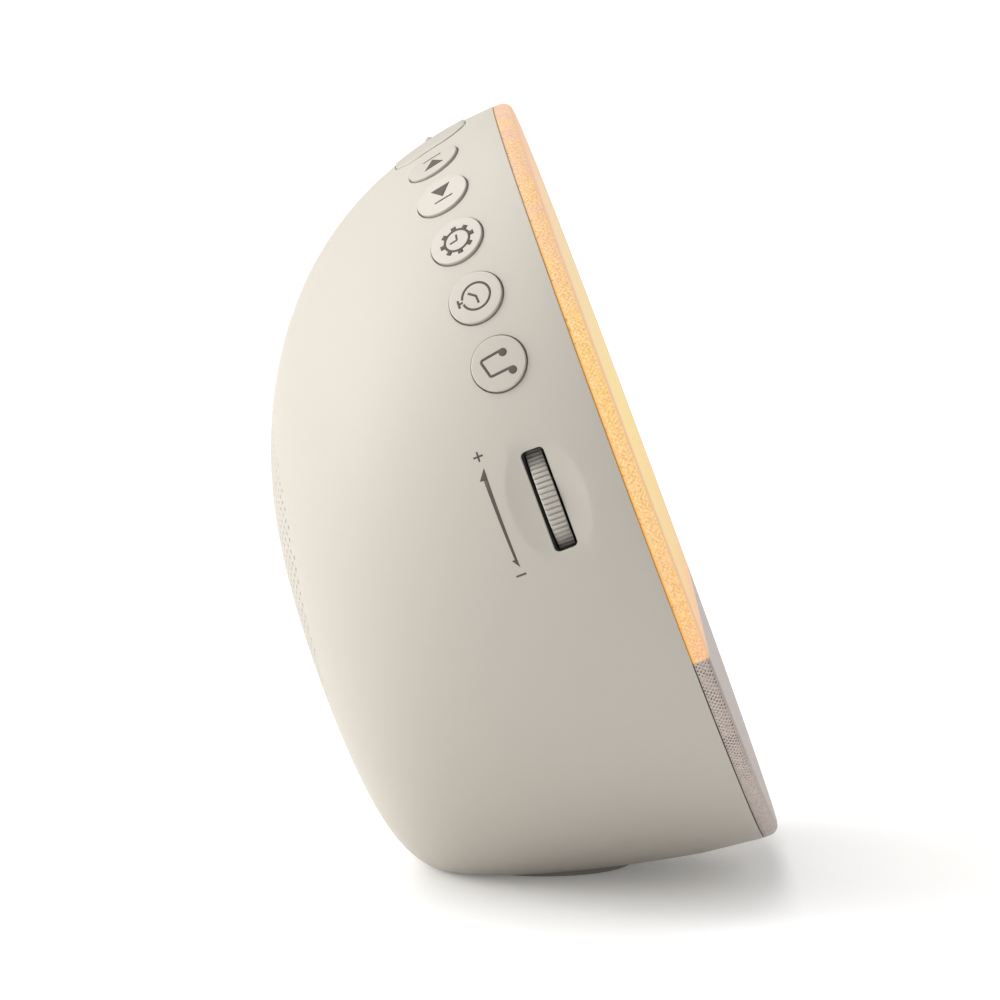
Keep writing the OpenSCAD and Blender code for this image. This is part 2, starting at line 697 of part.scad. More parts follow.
module dimmer_wheel() color([0.78, 0.75, 0.70]) panel() wheel_axis() difference() {
    translate([0, 0, -wheel_t / 2]) cylinder(d = wheel_d, h = wheel_t, $fn = 2 * round_fn);
    for (i = [0 : wheel_ribs - 1]) rotate([0, 0, i * rib_angle])
        translate([wheel_d / 2 + rib_depth / 2, 0, -wheel_t])
            cylinder(r = rib_depth * 1.5, h = 2 * wheel_t, $fn = 16);
    translate([0, 0, -wheel_t]) cylinder(d = shaft_d, h = 2 * wheel_t, $fn = hole_fn);
}

module dimmer_shaft() color([0.70, 0.70, 0.72]) panel() wheel_axis()
    translate([0, 0, wheel_t / 2 - shaft_len])
        cylinder(d = shaft_d, h = shaft_len, $fn = hole_fn);

module dimmer_control() color([0.20, 0.35, 0.55]) panel() wheel_axis() difference() {
    translate([-pot_size / 2, -pot_size / 2, -wheel_t / 2 - wheel_room - pot_t])
        cube([pot_size, pot_size, pot_t]);
    translate([0, 0, -wheel_t / 2 - wheel_room - pot_t * 0.9])
        cylinder(d = shaft_d + 2 * shaft_fit, h = pot_t, $fn = hole_fn);
}

module main_board() color([0.10, 0.32, 0.20]) panel() difference() {
    translate([-main_w / 2, -main_low - main_h / 2, main_z - board_t]) cube([main_w, main_h, board_t]);
    standoff_places() translate([0, 0, main_z - 2 * board_t])
        cylinder(d = screw_d + 2 * screw_room, h = 3 * board_t, $fn = hole_fn);
}

// Chips, as shares of the board: middle across and up, width and height; then two capacitors
module board_chips() color([0.12, 0.12, 0.13]) panel() translate([0, -main_low, main_z - board_t]) {
    for (chip = [[-0.20, 0.12, 0.20, 0.35], [0.07, 0.12, 0.13, 0.18], [0.33, -0.12, 0.08, 0.12],
        [-0.28, -0.24, 0.10, 0.15]])
        translate([(chip[0] - chip[2] / 2) * main_w, (chip[1] - chip[3] / 2) * main_h, -chip_h])
            cube([chip[2] * main_w, chip[3] * main_h, chip_h]);
    for (x = [0.20, 0.32]) translate([x * main_w, main_h * 0.2, -capacitor_h])
        cylinder(d = capacitor_d, h = capacitor_h, $fn = hole_fn);
}

module board_plugs() color([0.94, 0.93, 0.88]) panel() translate([0, -main_low, main_z - board_t])
    for (i = [-1 : 1])
        translate([(1.5 * i - 0.2) * plug_w, plug_d - main_h / 2, -plug_h]) cube([plug_w, plug_d, plug_h]);

module board_screws() color([0.62, 0.62, 0.64]) panel()
    standoff_places() translate([0, 0, main_z - board_t]) mirror([0, 0, 1]) screw(board_screw_len);

module speaker_axis(depth) translate([0, speaker_up, -depth]) children();

// Pressed steel basket: rear rim, front plate and six legs
module speaker_frame() color([0.25, 0.25, 0.26]) panel() speaker_axis(speaker_depth) {
    difference() {
        cylinder(d = speaker_d, h = speaker_rim_t, $fn = round_fn);
        translate([0, 0, -eps]) cylinder(r = speaker_d / 2 - rim_w, h = 4 * eps, $fn = round_fn);
    }
    translate([0, 0, basket_h - basket_t]) difference() {
        cylinder(r = speaker_d / 2 - basket_t, h = basket_t, $fn = round_fn);
        translate([0, 0, -eps]) cylinder(d = magnet_d / 2.4, h = 4 * eps, $fn = round_fn);
    }
    for (a = [0 : 60 : 300]) rotate([0, 0, a])
        translate([speaker_d / 2 - basket_t - leg_t, -leg_w / 2, 0]) cube([leg_t, leg_w, basket_h]);
}

module speaker_magnet() color([0.35, 0.35, 0.36]) panel() speaker_axis(basket_depth)
    cylinder(d = magnet_d, h = magnet_t, $fn = round_fn);

// Paper cone with its dust cap and voice-coil former, one moving piece
module speaker_cone() color([0.14, 0.14, 0.14]) panel() speaker_axis(speaker_depth)
    rotate_extrude($fn = round_fn)
        polygon([[cone_r, cone_front], [cone_r, cone_front + cone_t], [coil_r, basket_h * 0.63],
            [coil_r, coil_end], [coil_r - cone_t, coil_end], [coil_r - cone_t, basket_h * 0.47],
            [0, basket_h * 0.33 + cone_t], [0, basket_h * 0.33], [coil_r + cone_t, basket_h * 0.42]]);

// Rubber edge: a half-round roll between cone and rim
module speaker_edge() color([0.10, 0.10, 0.10]) panel() speaker_axis(speaker_depth)
    rotate_extrude($fn = round_fn)
        polygon(concat([for (i = [0 : 8]) let (a = 180 * i / 8)
            [edge_middle + surround_w / 2 * cos(a), speaker_rim_t + edge_rise * sin(a)]],
            [for (i = [8 : -1 : 0]) let (a = 180 * i / 8)
            [edge_middle + (surround_w / 2 - edge_t) * cos(a),
                speaker_rim_t + (edge_rise - edge_t) * sin(a)]]));

// Foam ring that seals the speaker to the back of the dome
module speaker_gasket() color([0.18, 0.18, 0.18]) difference() {
    intersection() {
        panel() speaker_axis(inner_depth) difference() {
            cylinder(r = speaker_d / 2 - rim_w + gasket_w, h = speaker_room, $fn = round_fn);
            translate([0, 0, -eps])
                cylinder(r = speaker_d / 2 - rim_w, h = speaker_room + 2 * eps, $fn = round_fn);
        }
        dome_inner();
    }
}

module power_inlet() color([0.13, 0.13, 0.14]) translate([0, jack_back, jack_z]) difference() {
    translate([-jack_size / 2, -jack_len, -jack_size / 2]) cube([jack_size, jack_len, jack_size]);
    rotate([90, 0, 0]) translate([0, 0, -eps])
        cylinder(d = jack_bore, h = jack_pin_len + 1 + eps, $fn = round_fn);
}

module inlet_pin() color([0.80, 0.78, 0.70]) translate([0, jack_back - 1, jack_z])
    rotate([90, 0, 0]) cylinder(d = jack_pin_d, h = jack_pin_len, $fn = hole_fn);

rear_shell();
rubber_foot();
front_ring();
cover_disc();
fabric_cover();
diffuser_sheet();
light_tray();
led_board();
led_chips();
display_box();
display_board();
display_digits();
inner_frame();
frame_screws();
switch_arch();
switch_circuit();
key_switches();
snooze_bar();
key_next();
key_previous();
key_settings();
key_timer();
key_music();
key_light();
key_louder();
key_quieter();
key_alarm();
key_sleep();
dimmer_wheel();
dimmer_shaft();
dimmer_control();
main_board();
board_chips();
board_plugs();
board_screws();
speaker_frame();
speaker_magnet();
speaker_cone();
speaker_edge();
speaker_gasket();
power_inlet();
inlet_pin();
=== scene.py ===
import json
import math

import bpy
import numpy as np
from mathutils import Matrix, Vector, geometry


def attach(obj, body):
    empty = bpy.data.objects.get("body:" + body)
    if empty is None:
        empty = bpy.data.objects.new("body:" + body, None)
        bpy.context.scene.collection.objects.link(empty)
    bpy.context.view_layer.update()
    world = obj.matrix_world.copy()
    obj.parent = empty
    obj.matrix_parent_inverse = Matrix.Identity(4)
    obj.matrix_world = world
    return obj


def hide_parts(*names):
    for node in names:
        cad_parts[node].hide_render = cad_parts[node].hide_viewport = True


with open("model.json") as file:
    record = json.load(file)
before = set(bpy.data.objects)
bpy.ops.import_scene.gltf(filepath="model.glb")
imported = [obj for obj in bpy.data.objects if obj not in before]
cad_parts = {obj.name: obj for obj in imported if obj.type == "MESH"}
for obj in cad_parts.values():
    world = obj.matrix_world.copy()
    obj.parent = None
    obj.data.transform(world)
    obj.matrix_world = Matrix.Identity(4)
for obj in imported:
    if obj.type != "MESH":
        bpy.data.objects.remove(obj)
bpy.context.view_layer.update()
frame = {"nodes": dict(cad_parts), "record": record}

# Lengths are millimetres in the panel frame unless a name says otherwise: X as the world, Y up the
# leaning face, Z out of the face, seam plane at Z = 0. "Depth" runs from the seam into the dome.
# "Angle" turns round the panel's axis from the top, positive towards -X. A "place" is an origin and
# three axes on the dome: along the arc, to the back and outward.
MM = 0.001

# The leaning disc, the dome behind it, and its flat base on the foot
LEAN = math.radians(20.5)
DISC_R = 75.0
DISC_Y = -16.2
SEAM_LIFT = 5.8
DISC_Z = DISC_R * math.cos(LEAN) + SEAM_LIFT
DOME_DEPTH = 68.6
SIDE_POWER = 3.74
BACK_POWER = 1.55
SINK = 19.1
SINK_POWER = 3.2
WALL = 2.4
FOOT_H = 0.4
FOOT_T = 1.3
RECESS_R = 17.3
FLOOR_T = 2.5
BASE_KNEE = 0.25

# The cloth cover, from the seam to its face. Its level line is LIGHT_EDGE below the middle
SEAM_GAP = 0.2
COVER_DEPTH = 3.4
COVER_ROUND = 2.0
FABRIC_T = 0.5
LIGHT_EDGE = 29.5
MARGIN_R = 64.0
THREAD_PITCH = 0.64

# Keys, their heights measured from the dome
KEY_NODES = ["key_next", "key_previous", "key_settings", "key_timer", "key_music"]
FAR_NODES = ["key_light", "key_louder", "key_quieter", "key_alarm", "key_sleep"]
KEY_DEPTH = 13.7
KEY_FIRST = 18.6
KEY_STEP = 11.15
KEY_R = 5.24
KEY_GAP = 0.2
KEY_PROUD = 0.35
KEY_CROWN = 0.1
KEY_EDGE = 0.22
KEY_SKIRT = -2.3
BAR_LEN = 29.1
BAR_WID = 15.5
BAR_CORNER = 6.1
BAR_PROUD = 0.25
BAR_EDGE = 0.3
NUB_LEN = 4.6
NUB_WID = 1.5
NUB_CORNER = 0.7
NUB_SHRINK = 0.68
NUB_HIGH = 0.6
NUB_SUNK = 0.05
PRINT_LIFT = 0.02
PRINT_SINK = -0.08

# The dimmer wheel, its slot, the black sleeve that paints shade inside the slot, and the dish round
# it
WHEEL_ANGLE = 83.9
WHEEL_R = 11.5
WHEEL_T = 3.14
WHEEL_FORWARD = 0.33
WHEEL_RIBS = 72
RIB_DEEP = 0.45
RIB_GROOVE = 0.15
WHEEL_PROUD = 1.1
SLOT_LEN = 18.8
SLOT_WID = 4.4
SLOT_CORNER = 0.9
# The black sleeve that paints shade in the slot: its top and its end, under the dish's face
SHADE_SLEEVE_TOP = 0.14
SHADE_SLEEVE_END = 3.6
DISH_LEN = 23.4
DISH_WID = 14.6
DISH_EDGE = 0.03

# The round field of sound holes, and the plug opening
FIELD_UP = 1.3
FIELD_R = 36.0
HOLE_PITCH = 2.2
HOLE_R = 0.45
JACK_Z = 15.0
JACK_BACK = 34.0
JACK_MOUTH = 29.2557
JACK_OVERLAP = 0.05
JACK_R = 4.3


# ---------------------------------------------------------------- surfaces

def to_world(p):
    """Panel points in mm to world points in mm: turned back by the lean and set on the foot."""
    y = p[..., 1] * math.sin(LEAN) - p[..., 2] * math.cos(LEAN) + DISC_Y
    z = p[..., 1] * math.cos(LEAN) + p[..., 2] * math.sin(LEAN) + DISC_Z
    return np.stack([p[..., 0], y, z], -1)


def to_panel(w):
    """World points in mm back to panel points."""
    y = w[..., 1] - DISC_Y
    z = w[..., 2] - DISC_Z
    return np.stack([w[..., 0], y * math.sin(LEAN) + z * math.cos(LEAN),
                     z * math.sin(LEAN) - y * math.cos(LEAN)], -1)


def dome_r(n):
    """Radius of the dome at a depth: a superellipse quarter from the seam to the pole."""
    t = np.clip(n / DOME_DEPTH, 0.0, 1.0)
    return DISC_R * np.power(1 - np.power(t, BACK_POWER), 1 / SIDE_POWER)


def sink(n):
    """How far the centre of the dome's section has sunk at a depth: a power of the depth."""
    return SINK * np.power(np.maximum(n, 0.0) / DOME_DEPTH, SINK_POWER)


def profile(turn):
    """Radius and depth of the superellipse at a parameter: powers of its cosine and sine."""
    c = np.maximum(np.cos(turn), 0)
    s = np.maximum(np.sin(turn), 0)
    return DISC_R * np.power(c, 2 / SIDE_POWER), DOME_DEPTH * np.power(s, 2 / BACK_POWER)


# The profile's length from the pole, tabled against its parameter: 0 at the seam, a quarter turn at
# the pole
PROFILE_SAMPLES = 6001
TURN = np.linspace(0, math.pi / 2, PROFILE_SAMPLES)
PROFILE_R, PROFILE_N = profile(TURN)
STEPS = np.hypot(np.diff(PROFILE_R), np.diff(PROFILE_N))
FROM_POLE = np.concatenate([[0], np.cumsum(STEPS[::-1])])
TURN_FROM_POLE = TURN[::-1]
LEAST_TURN = 1e-5


def flatten(p):
    """Panel points on the dome to the flat pattern: polar, by the profile's length to the pole."""
    n = -p[..., 2]
    a = np.arctan2(-p[..., 0], p[..., 1] + sink(n))
    turn = np.arcsin(np.power(np.clip(n / DOME_DEPTH, 0, 1), BACK_POWER / 2))
    rho = np.interp(math.pi / 2 - turn, math.pi / 2 - TURN_FROM_POLE, FROM_POLE)
    return np.stack([-rho * np.sin(a), rho * np.cos(a)], -1)


def dome_point(q):
    """Flat pattern to panel points and unit normals: circular sections whose centres sink."""
    rho = np.hypot(q[:, 0], q[:, 1])
    a = np.arctan2(-q[:, 0], q[:, 1])
    turn = np.interp(rho, FROM_POLE, TURN_FROM_POLE)
    r, n = profile(turn)
    p = np.stack([-r * np.sin(a), r * np.cos(a) - sink(n), -n], -1)
    c = np.maximum(np.cos(turn), LEAST_TURN)
    s = np.maximum(np.sin(turn), LEAST_TURN)
    dr = -DISC_R * (2 / SIDE_POWER) * np.power(c, 2 / SIDE_POWER - 1) * s
    dn = DOME_DEPTH * (2 / BACK_POWER) * np.power(s, 2 / BACK_POWER - 1) * c
    ds = SINK * SINK_POWER / DOME_DEPTH * np.power(n / DOME_DEPTH, SINK_POWER - 1) * dn
    normal = np.stack([-np.sin(a) * dn, np.cos(a) * dn, dr - ds * np.cos(a)], -1)
    return p, normal / np.linalg.norm(normal, axis=1, keepdims=True)


def ring_place(angle, sunk=True):
    """The place on the ring of keys at an angle, square to the dome's slope there."""
    a = math.radians(angle)
    step = 0.5
    slope = float(dome_r(KEY_DEPTH - step) - dome_r(KEY_DEPTH + step))
    drop = float(sink(KEY_DEPTH)) if sunk else 0.0
    if sunk:
        slope += float(sink(KEY_DEPTH + step) - sink(KEY_DEPTH - step)) * math.cos(a)
    t = math.atan(slope)
    r = float(dome_r(KEY_DEPTH))
    turn = np.array([[math.cos(a), -math.sin(a), 0], [math.sin(a), math.cos(a), 0], [0, 0, 1]])
    origin = np.array([-r * math.sin(a), r * math.cos(a) - drop, -KEY_DEPTH])
    axes = ([1, 0, 0], [0, -math.sin(t), -math.cos(t)], [0, math.cos(t), -math.sin(t)])
    return origin, *(turn @ np.array(axis) for axis in axes)


def place(local, at):
    """Points in a place's own axes to panel points."""
    return at[0] + local[..., :1] * at[1] + local[..., 1:2] * at[2] + local[..., 2:3] * at[3]


def placed(rows, at):
    """Rows of points in a place's own axes to world points."""
    return to_world(place(np.asarray(rows), at))


def measure(p, at):
    """Panel points in a place's own axes: along, back and out."""
    d = p - at[0]
    return [d @ axis for axis in at[1:]]


def halve(low, high, rounds, inside):
    """Narrows an interval for every point by halving it, keeping the end that is inside as low."""
    for _ in range(rounds):
        middle = (low + high) / 2
        keep = inside(middle)
        low = np.where(keep, middle, low)
        high = np.where(keep, high, middle)
    return low, high


def in_dome(p):
    """Whether panel points are inside the dome."""
    return np.hypot(p[:, 0], p[:, 1] + sink(-p[:, 2])) < dome_r(-p[:, 2])


def drop_on_dome(flat, at, reach=8.0):
    """Local (x, y) points moved along the place's outward axis onto the dome."""
    def lifted(height):
        return place(np.column_stack([flat, height]), at)
    low, high = halve(np.full(len(flat), -reach), np.full(len(flat), reach), 44,
                      lambda height: in_dome(lifted(height)))
    return lifted((low + high) / 2)


def dome_height(xy, at):
    """Height of the dome over local points, along the place's outward axis."""
    return (drop_on_dome(xy, at) - at[0]) @ at[3]


def drop_on_back(x, y):
    """Panel points of the dome's back over panel X and Y."""
    low, high = halve(np.full(len(x), 1.0), np.full(len(x), DOME_DEPTH), 50,
                      lambda n: np.hypot(x, y + sink(n)) < dome_r(n))
    return np.stack([x, y, -(low + high) / 2], -1)


WHEEL_AT = ring_place(WHEEL_ANGLE, sunk=False)
BAR_AT = ring_place(0)
SURFACE_R = float(dome_r(KEY_DEPTH))
DISH_DEEP = (DISH_LEN / 2) ** 2 / (2 * SURFACE_R)


def dish(p):
    """Depth of the dish at panel points: one minus the ellipse's squares, its edge softened."""
    x, y, z = measure(p, WHEEL_AT)
    f = DISH_DEEP * (1 - (2 * x / DISH_LEN) ** 2 - (2 * y / DISH_WID) ** 2)
    near = (np.abs(x) < DISH_LEN) & (z > -DISH_LEN / 4)
    return np.where(near, 0.5 * (f + np.sqrt(f * f + DISH_EDGE ** 2)) * (f > -1), 0.0)


def above(z, floor, soft):
    """Height kept above a floor, with a soft knee."""
    return floor + 0.5 * ((z - floor) + np.sqrt((z - floor) ** 2 + soft * soft))


def skin(q, inset=0.0):
    """Flat pattern to world mm, levelled at the base: the outer face with its dish, or the inner
    one, a wall's thickness in."""
    p, normal = dome_point(q)
    if inset:
        p = p - normal * inset
    else:
        p = p - normal * dish(p)[:, None]
    w = to_world(p)
    recess = (np.hypot(w[:, 0], w[:, 1]) < RECESS_R) * (FOOT_T - FOOT_H)
    w[:, 2] = above(w[:, 2], FOOT_H + (FLOOR_T if inset else recess), BASE_KNEE)
    return w


def skin_normals(q):
    """Unit normals of the outer face from central differences over the flat pattern."""
    h = 0.06
    dx = skin(q + [h, 0]) - skin(q - [h, 0])
    dy = skin(q + [0, h]) - skin(q - [0, h])
    n = np.cross(dx, dy)
    out = to_world(dome_point(q)[1]) - to_world(np.zeros(3))
    n *= np.sign((n * out).sum(1, keepdims=True))
    return n / np.linalg.norm(n, axis=1, keepdims=True)


# ---------------------------------------------------------------- meshes

def add_piece(name, points, faces, body, slot, finish=None, normals=None, replaces=()):
    """Makes a smooth mesh object from world mm points and faces. It rides on a body and has the
    finish of its slot, or one of its own."""
    mesh = bpy.data.meshes.new(name)
    mesh.from_pydata((np.asarray(points) * MM).tolist(), [], faces)
    mesh.polygons.foreach_set("use_smooth", [True] * len(mesh.polygons))
    mesh.update()
    if normals is not None:
        mesh.normals_split_custom_set_from_vertices(normals.tolist())
    mesh.materials.append(FINISHES[finish or slot])
    piece = bpy.data.objects.new(name, mesh)
    bpy.context.scene.collection.objects.link(piece)
    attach(piece, body)
    if replaces:
        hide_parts(*replaces)
    return piece


def following(count, sides):
    """For points in loops of equal length, the index of the next point of each one's own loop."""
    k = np.arange(count)
    return k - k % sides + (k + 1) % sides


def grid_faces(rows, cols, start=0, closed=True):
    """Quads between rows of points, the last column joined to the first where it is closed."""
    i = np.arange(rows - 1)[:, None]
    j = np.arange(cols if closed else cols - 1)[None, :]
    k = (j + 1) % cols
    quads = np.stack([i * cols + j, i * cols + k, (i + 1) * cols + k, (i + 1) * cols + j], -1)
    return (quads.reshape(-1, 4) + start).tolist()


class Build:
    """Collects lofted surfaces into one mesh."""

    def __init__(self):
        self.points = []
        self.faces = []
        self.count = 0

    def loft(self, rows, caps=True, flip=False):
        """A surface through closed rows of points. Its end rows get flat caps, or they meet."""
        if not caps:
            rows = np.concatenate([rows, rows[:1]])
        n, m = rows.shape[:2]
        faces = grid_faces(n, m, self.count)
        if caps:
            faces.append(list(range(self.count + m - 1, self.count - 1, -1)))
            faces.append(list(range(self.count + (n - 1) * m, self.count + n * m)))
        self.faces += [f[::-1] for f in faces] if flip else faces
        self.points.append(rows.reshape(-1, 3))
        self.count += n * m

    def piece(self, name, body, slot, **more):
        """The mesh as a piece of the clock."""
        return add_piece(name, np.concatenate(self.points), self.faces, body, slot, **more)


def add_loft(name, rows, body, slot, caps=True, **more):
    """A piece that is one surface through closed rows of world points."""
    made = Build()
    made.loft(rows, caps)
    return made.piece(name, body, slot, **more)


def circle(count, r):
    """Points on a circle, counter-clockwise."""
    a = np.arange(count) * 2 * math.pi / count
    return np.column_stack([r * np.cos(a), r * np.sin(a)])


def rings(rows, count):
    """Circles round the Z axis from their (radius, height)."""
    ring = circle(count, 1.0)
    return np.array([np.column_stack([ring * r, np.full(count, z)]) for r, z in rows])


def rounded(length, width, corner, grow, side, bend):
    """A rounded rectangle, counter-clockwise, grown outward: four arcs joined by straight runs."""
    r = corner + grow
    signs = np.array([(1, 1), (-1, 1), (-1, -1), (1, -1)])
    centres = signs * (length / 2 - corner, width / 2 - corner)
    t = np.linspace(0, 1, side + 1)[1:-1, None]
    points = []
    for k in range(4):
        stop = (k + 1) * math.pi / 2
        a = np.linspace(k * math.pi / 2, stop, bend + 1)
        points.append(centres[k] + r * np.column_stack([np.cos(a), np.sin(a)]))
        end = centres[(k + 1) % 4] + r * np.array([math.cos(stop), math.sin(stop)])
        points.append(points[-1][-1] * (1 - t) + end * t)
    return np.concatenate(points)


# ---------------------------------------------------------------- finishes

FINISHES = {}


class Sock:
    """A socket with arithmetic: an expression on values adds its Math nodes."""

    def __init__(self, mat, out):
        self.mat = mat
        self.out = out

    def _op(self, kind, *args):
        return self.mat.node("Math", {"operation": kind}, args)

    def __add__(self, o):
        return self._op("ADD", self, o)

    def __radd__(self, o):
        return self._op("ADD", o, self)

    def __sub__(self, o):
        return self._op("SUBTRACT", self, o)

    def __rsub__(self, o):
        return self._op("SUBTRACT", o, self)

    def __mul__(self, o):
        return self._op("MULTIPLY", self, o)

    def __rmul__(self, o):
        return self._op("MULTIPLY", o, self)

    def __truediv__(self, o):
        return self._op("DIVIDE", self, o)

    def __pow__(self, o):
        return self._op("POWER", self, o)

    def sin(self):
        return self._op("SINE", self)

    def step(self, low, high):
        """0 below low, 1 above high, smooth between."""
        return self.mat.node("MapRange", {"interpolation_type": "SMOOTHSTEP"},
                             (self, low, high, 0.0, 1.0))


class Finish:
    """One material and its shader. Every other node comes from the method node."""

    def __init__(self, name, color, roughness, **constants):
        self.material = bpy.data.materials.new(name)
        self.material.use_nodes = True
        self.tree = self.material.node_tree
        self.shader = self.tree.nodes["Principled BSDF"]
        self.shader.inputs["Base Color"].default_value = (*color, 1)
        self.shader.inputs["Roughness"].default_value = roughness
        for key, value in constants.items():
            self.shader.inputs[key.replace("_", " ")].default_value = value
        self.space = None
        FINISHES[name] = self.material

    def node(self, kind, settings=None, inputs=(), output=0):
        """Any node, from its type, its settings, which come first, and its sockets' values."""
        made = self.tree.nodes.new("ShaderNode" + kind)
        for key, value in (settings or {}).items():
            if key == "stops":
                ramp = made.color_ramp.elements
                while len(ramp) < len(value):
                    ramp.new(0.5)
                for element, (at, rgb) in zip(ramp, value):
                    element.position = at
                    element.color = (*rgb, 1)
            else:
                setattr(made, key, value)
        pairs = inputs.items() if isinstance(inputs, dict) else enumerate(inputs)
        for key, value in pairs:
            self.put(made.inputs[key], value)
        return Sock(self, made.outputs[output])

    def put(self, socket, value):
        """Links a socket to another one, or sets its value."""
        if isinstance(value, Sock):
            self.tree.links.new(value.out, socket)
        else:
            socket.default_value = value

    def coords(self):
        """Object coordinates in metres."""
        if self.space is None:
            self.space = self.node("TexCoord", output="Object")
        return self.space

    def panel_coords(self):
        """Object coordinates in millimetres, turned into the panel frame."""
        moved = self.node("VectorMath", {"operation": "ADD"},
                          (self.coords(), (0, -DISC_Y * MM, -DISC_Z * MM)))
        return self.node("Mapping", {"vector_type": "POINT"},
                         {"Vector": moved, "Rotation": (LEAN - math.pi / 2, 0, 0),
                          "Scale": (1 / MM, 1 / MM, 1 / MM)})

    def split(self, vector):
        """The three parts of a vector."""
        first = self.node("SeparateXYZ", {}, (vector,))
        return [Sock(self, out) for out in first.out.node.outputs]

    def noise(self, scale, detail=2.0, vector=None, roughness=0.5):
        """Cloudy noise from 0 to 1, over the object coordinates unless a vector is given."""
        return self.node("TexNoise", {}, {"Vector": vector or self.coords(), "Scale": scale,
                                          "Detail": detail, "Roughness": roughness})

    def mix(self, factor, a, b):
        """Colour a at factor 0 and b at 1. The Mix node's colours go in at 6 and 7 and out at 2."""
        a, b = [c if isinstance(c, Sock) else (*c, 1) for c in (a, b)]
        return self.node("Mix", {"data_type": "RGBA"}, {0: factor, 6: a, 7: b}, 2)

    def color(self, value):
        self.put(self.shader.inputs["Base Color"], value)

    def rough(self, value):
        self.put(self.shader.inputs["Roughness"], value)

    def bump(self, height, strength, distance):
        made = self.node("Bump", {}, {"Height": height, "Strength": strength, "Distance": distance})
        self.put(self.shader.inputs["Normal"], made)

    def glow(self, color, strength):
        self.put(self.shader.inputs["Emission Color"], color)
        self.shader.inputs["Emission Strength"].default_value = strength


GRAIN_DEEP = 0.0002
FINE_DEEP = 0.0001


def shade(rgb, k):
    """A colour made darker or lighter by a factor."""
    return tuple(min(1.0, c * k) for c in rgb)


def moulded(name, rgb, roughness, grain=900, bump=0.06, mottle=0.03, **more):
    """Moulded plastic: faint mottling, roughness that wanders and a fine spark-eroded grain."""
    f = Finish(name, rgb, roughness, **more)
    cloud = f.noise(30, 3)
    f.color(f.mix(cloud, shade(rgb, 1 - mottle), shade(rgb, 1 + mottle)))
    fine = f.noise(grain, 2)
    f.rough(roughness - 0.05 + 0.1 * fine)
    f.bump(fine, bump, GRAIN_DEEP)


SHELL_RGB = (0.46, 0.428, 0.375)
moulded("shell_plastic", SHELL_RGB, 0.55, grain=1400, bump=0.05, mottle=0.012,
        Specular_IOR_Level=0.35)
moulded("key_plastic", SHELL_RGB, 0.38, grain=1400, bump=0.05, mottle=0.012)
moulded("wheel_rubber", (0.45, 0.42, 0.375), 0.55, grain=1100, bump=0.08)
moulded("foot_rubber", (0.34, 0.315, 0.275), 0.8, grain=700, bump=0.2)
moulded("print_ink", (0.076, 0.064, 0.050), 0.75, grain=1500)
moulded("milky_plastic", (0.85, 0.84, 0.80), 0.5, grain=600)
moulded("white_plastic", (0.82, 0.82, 0.80), 0.45)
moulded("frame_plastic", (0.55, 0.55, 0.54), 0.5)
moulded("black_plastic", (0.018, 0.018, 0.02), 0.4, grain=800, mottle=0.1)
moulded("connector_plastic", (0.8, 0.77, 0.68), 0.4)
moulded("flex_film", (0.5, 0.24, 0.05), 0.3)
moulded("soft_foam", (0.03, 0.03, 0.03), 0.95, grain=500, bump=0.6, mottle=0.2)
moulded("paper_cone", (0.02, 0.02, 0.02), 0.9, grain=300, bump=0.3, mottle=0.2)
moulded("ferrite", (0.05, 0.05, 0.055), 0.6, grain=400, bump=0.2, mottle=0.15)


def metal(name, rgb, roughness):
    """Metal: drawn roughness from noise stretched along one axis."""
    f = Finish(name, rgb, roughness, Metallic=1.0)
    drawn = f.node("Mapping", {}, {"Vector": f.coords(), "Scale": (1, 12, 1)})
    streak = f.noise(300, 3, drawn)
    f.rough(roughness - 0.08 + 0.16 * streak)
    f.color(f.mix(streak, shade(rgb, 0.92), shade(rgb, 1.06)))
    f.bump(streak, 0.05, FINE_DEEP)


metal("screw_steel", (0.56, 0.56, 0.58), 0.3)
metal("pressed_steel", (0.30, 0.30, 0.31), 0.4)
metal("pin_metal", (0.75, 0.68, 0.45), 0.25)


def board(name, rgb, copper):
    """Circuit board: lacquer over a grid of tracks, seen as slightly lighter raised bands."""
    f = Finish(name, rgb, 0.35)
    cells = f.node("TexVoronoi", {"distance": "CHEBYCHEV"}, {"Vector": f.coords(), "Scale": 260})
    track = cells.step(0.35, 0.45)
    f.color(f.mix(track * 0.6, rgb, copper))
    f.rough(0.3 + 0.15 * track)
    f.bump(track, 0.2, FINE_DEEP)


board("circuit_board", (0.015, 0.10, 0.04), (0.03, 0.20, 0.08))
board("white_board", (0.75, 0.75, 0.72), (0.85, 0.83, 0.75))


def lamp(name, rgb, strength):
    """A lit part: its glow fades a little from piece to piece."""
    f = Finish(name, rgb, 0.4)
    patch = f.noise(60, 1)
    f.color(f.mix(patch, shade(rgb, 0.8), rgb))
    f.glow(f.mix(patch, shade(rgb, 0.8), rgb), strength)


lamp("light_source", (1.0, 0.8, 0.45), 1.0)
lamp("digit_red", (0.9, 0.12, 0.04), 0.6)

# Glow of the cloth by height, from the level line (0) to the top (1)
RIM_STOPS = [(0.0, (0.98, 0.58, 0.34)), (0.25, (1.0, 0.68, 0.32)), (0.6, (1.0, 0.69, 0.32)),
             (0.85, (0.88, 0.58, 0.40)), (1.0, (0.76, 0.52, 0.45))]
FACE_STOPS = [(0.0, (0.74, 0.40, 0.20)), (0.12, (0.73, 0.50, 0.17)), (0.4, (0.75, 0.57, 0.17)),
              (0.7, (0.70, 0.52, 0.25)), (1.0, (0.70, 0.44, 0.27))]
GOLD = (1.0, 0.70, 0.18)
EMBER = (0.64, 0.30, 0.07)
HEM_AMBER = (0.88, 0.42, 0.05)
HEM_BROWN = (0.30, 0.13, 0.03)
MARGIN_PINK = (0.70, 0.40, 0.22)
FACE_BROWN = (0.50, 0.25, 0.06)
YARN_DARK = (0.42, 0.35, 0.315)
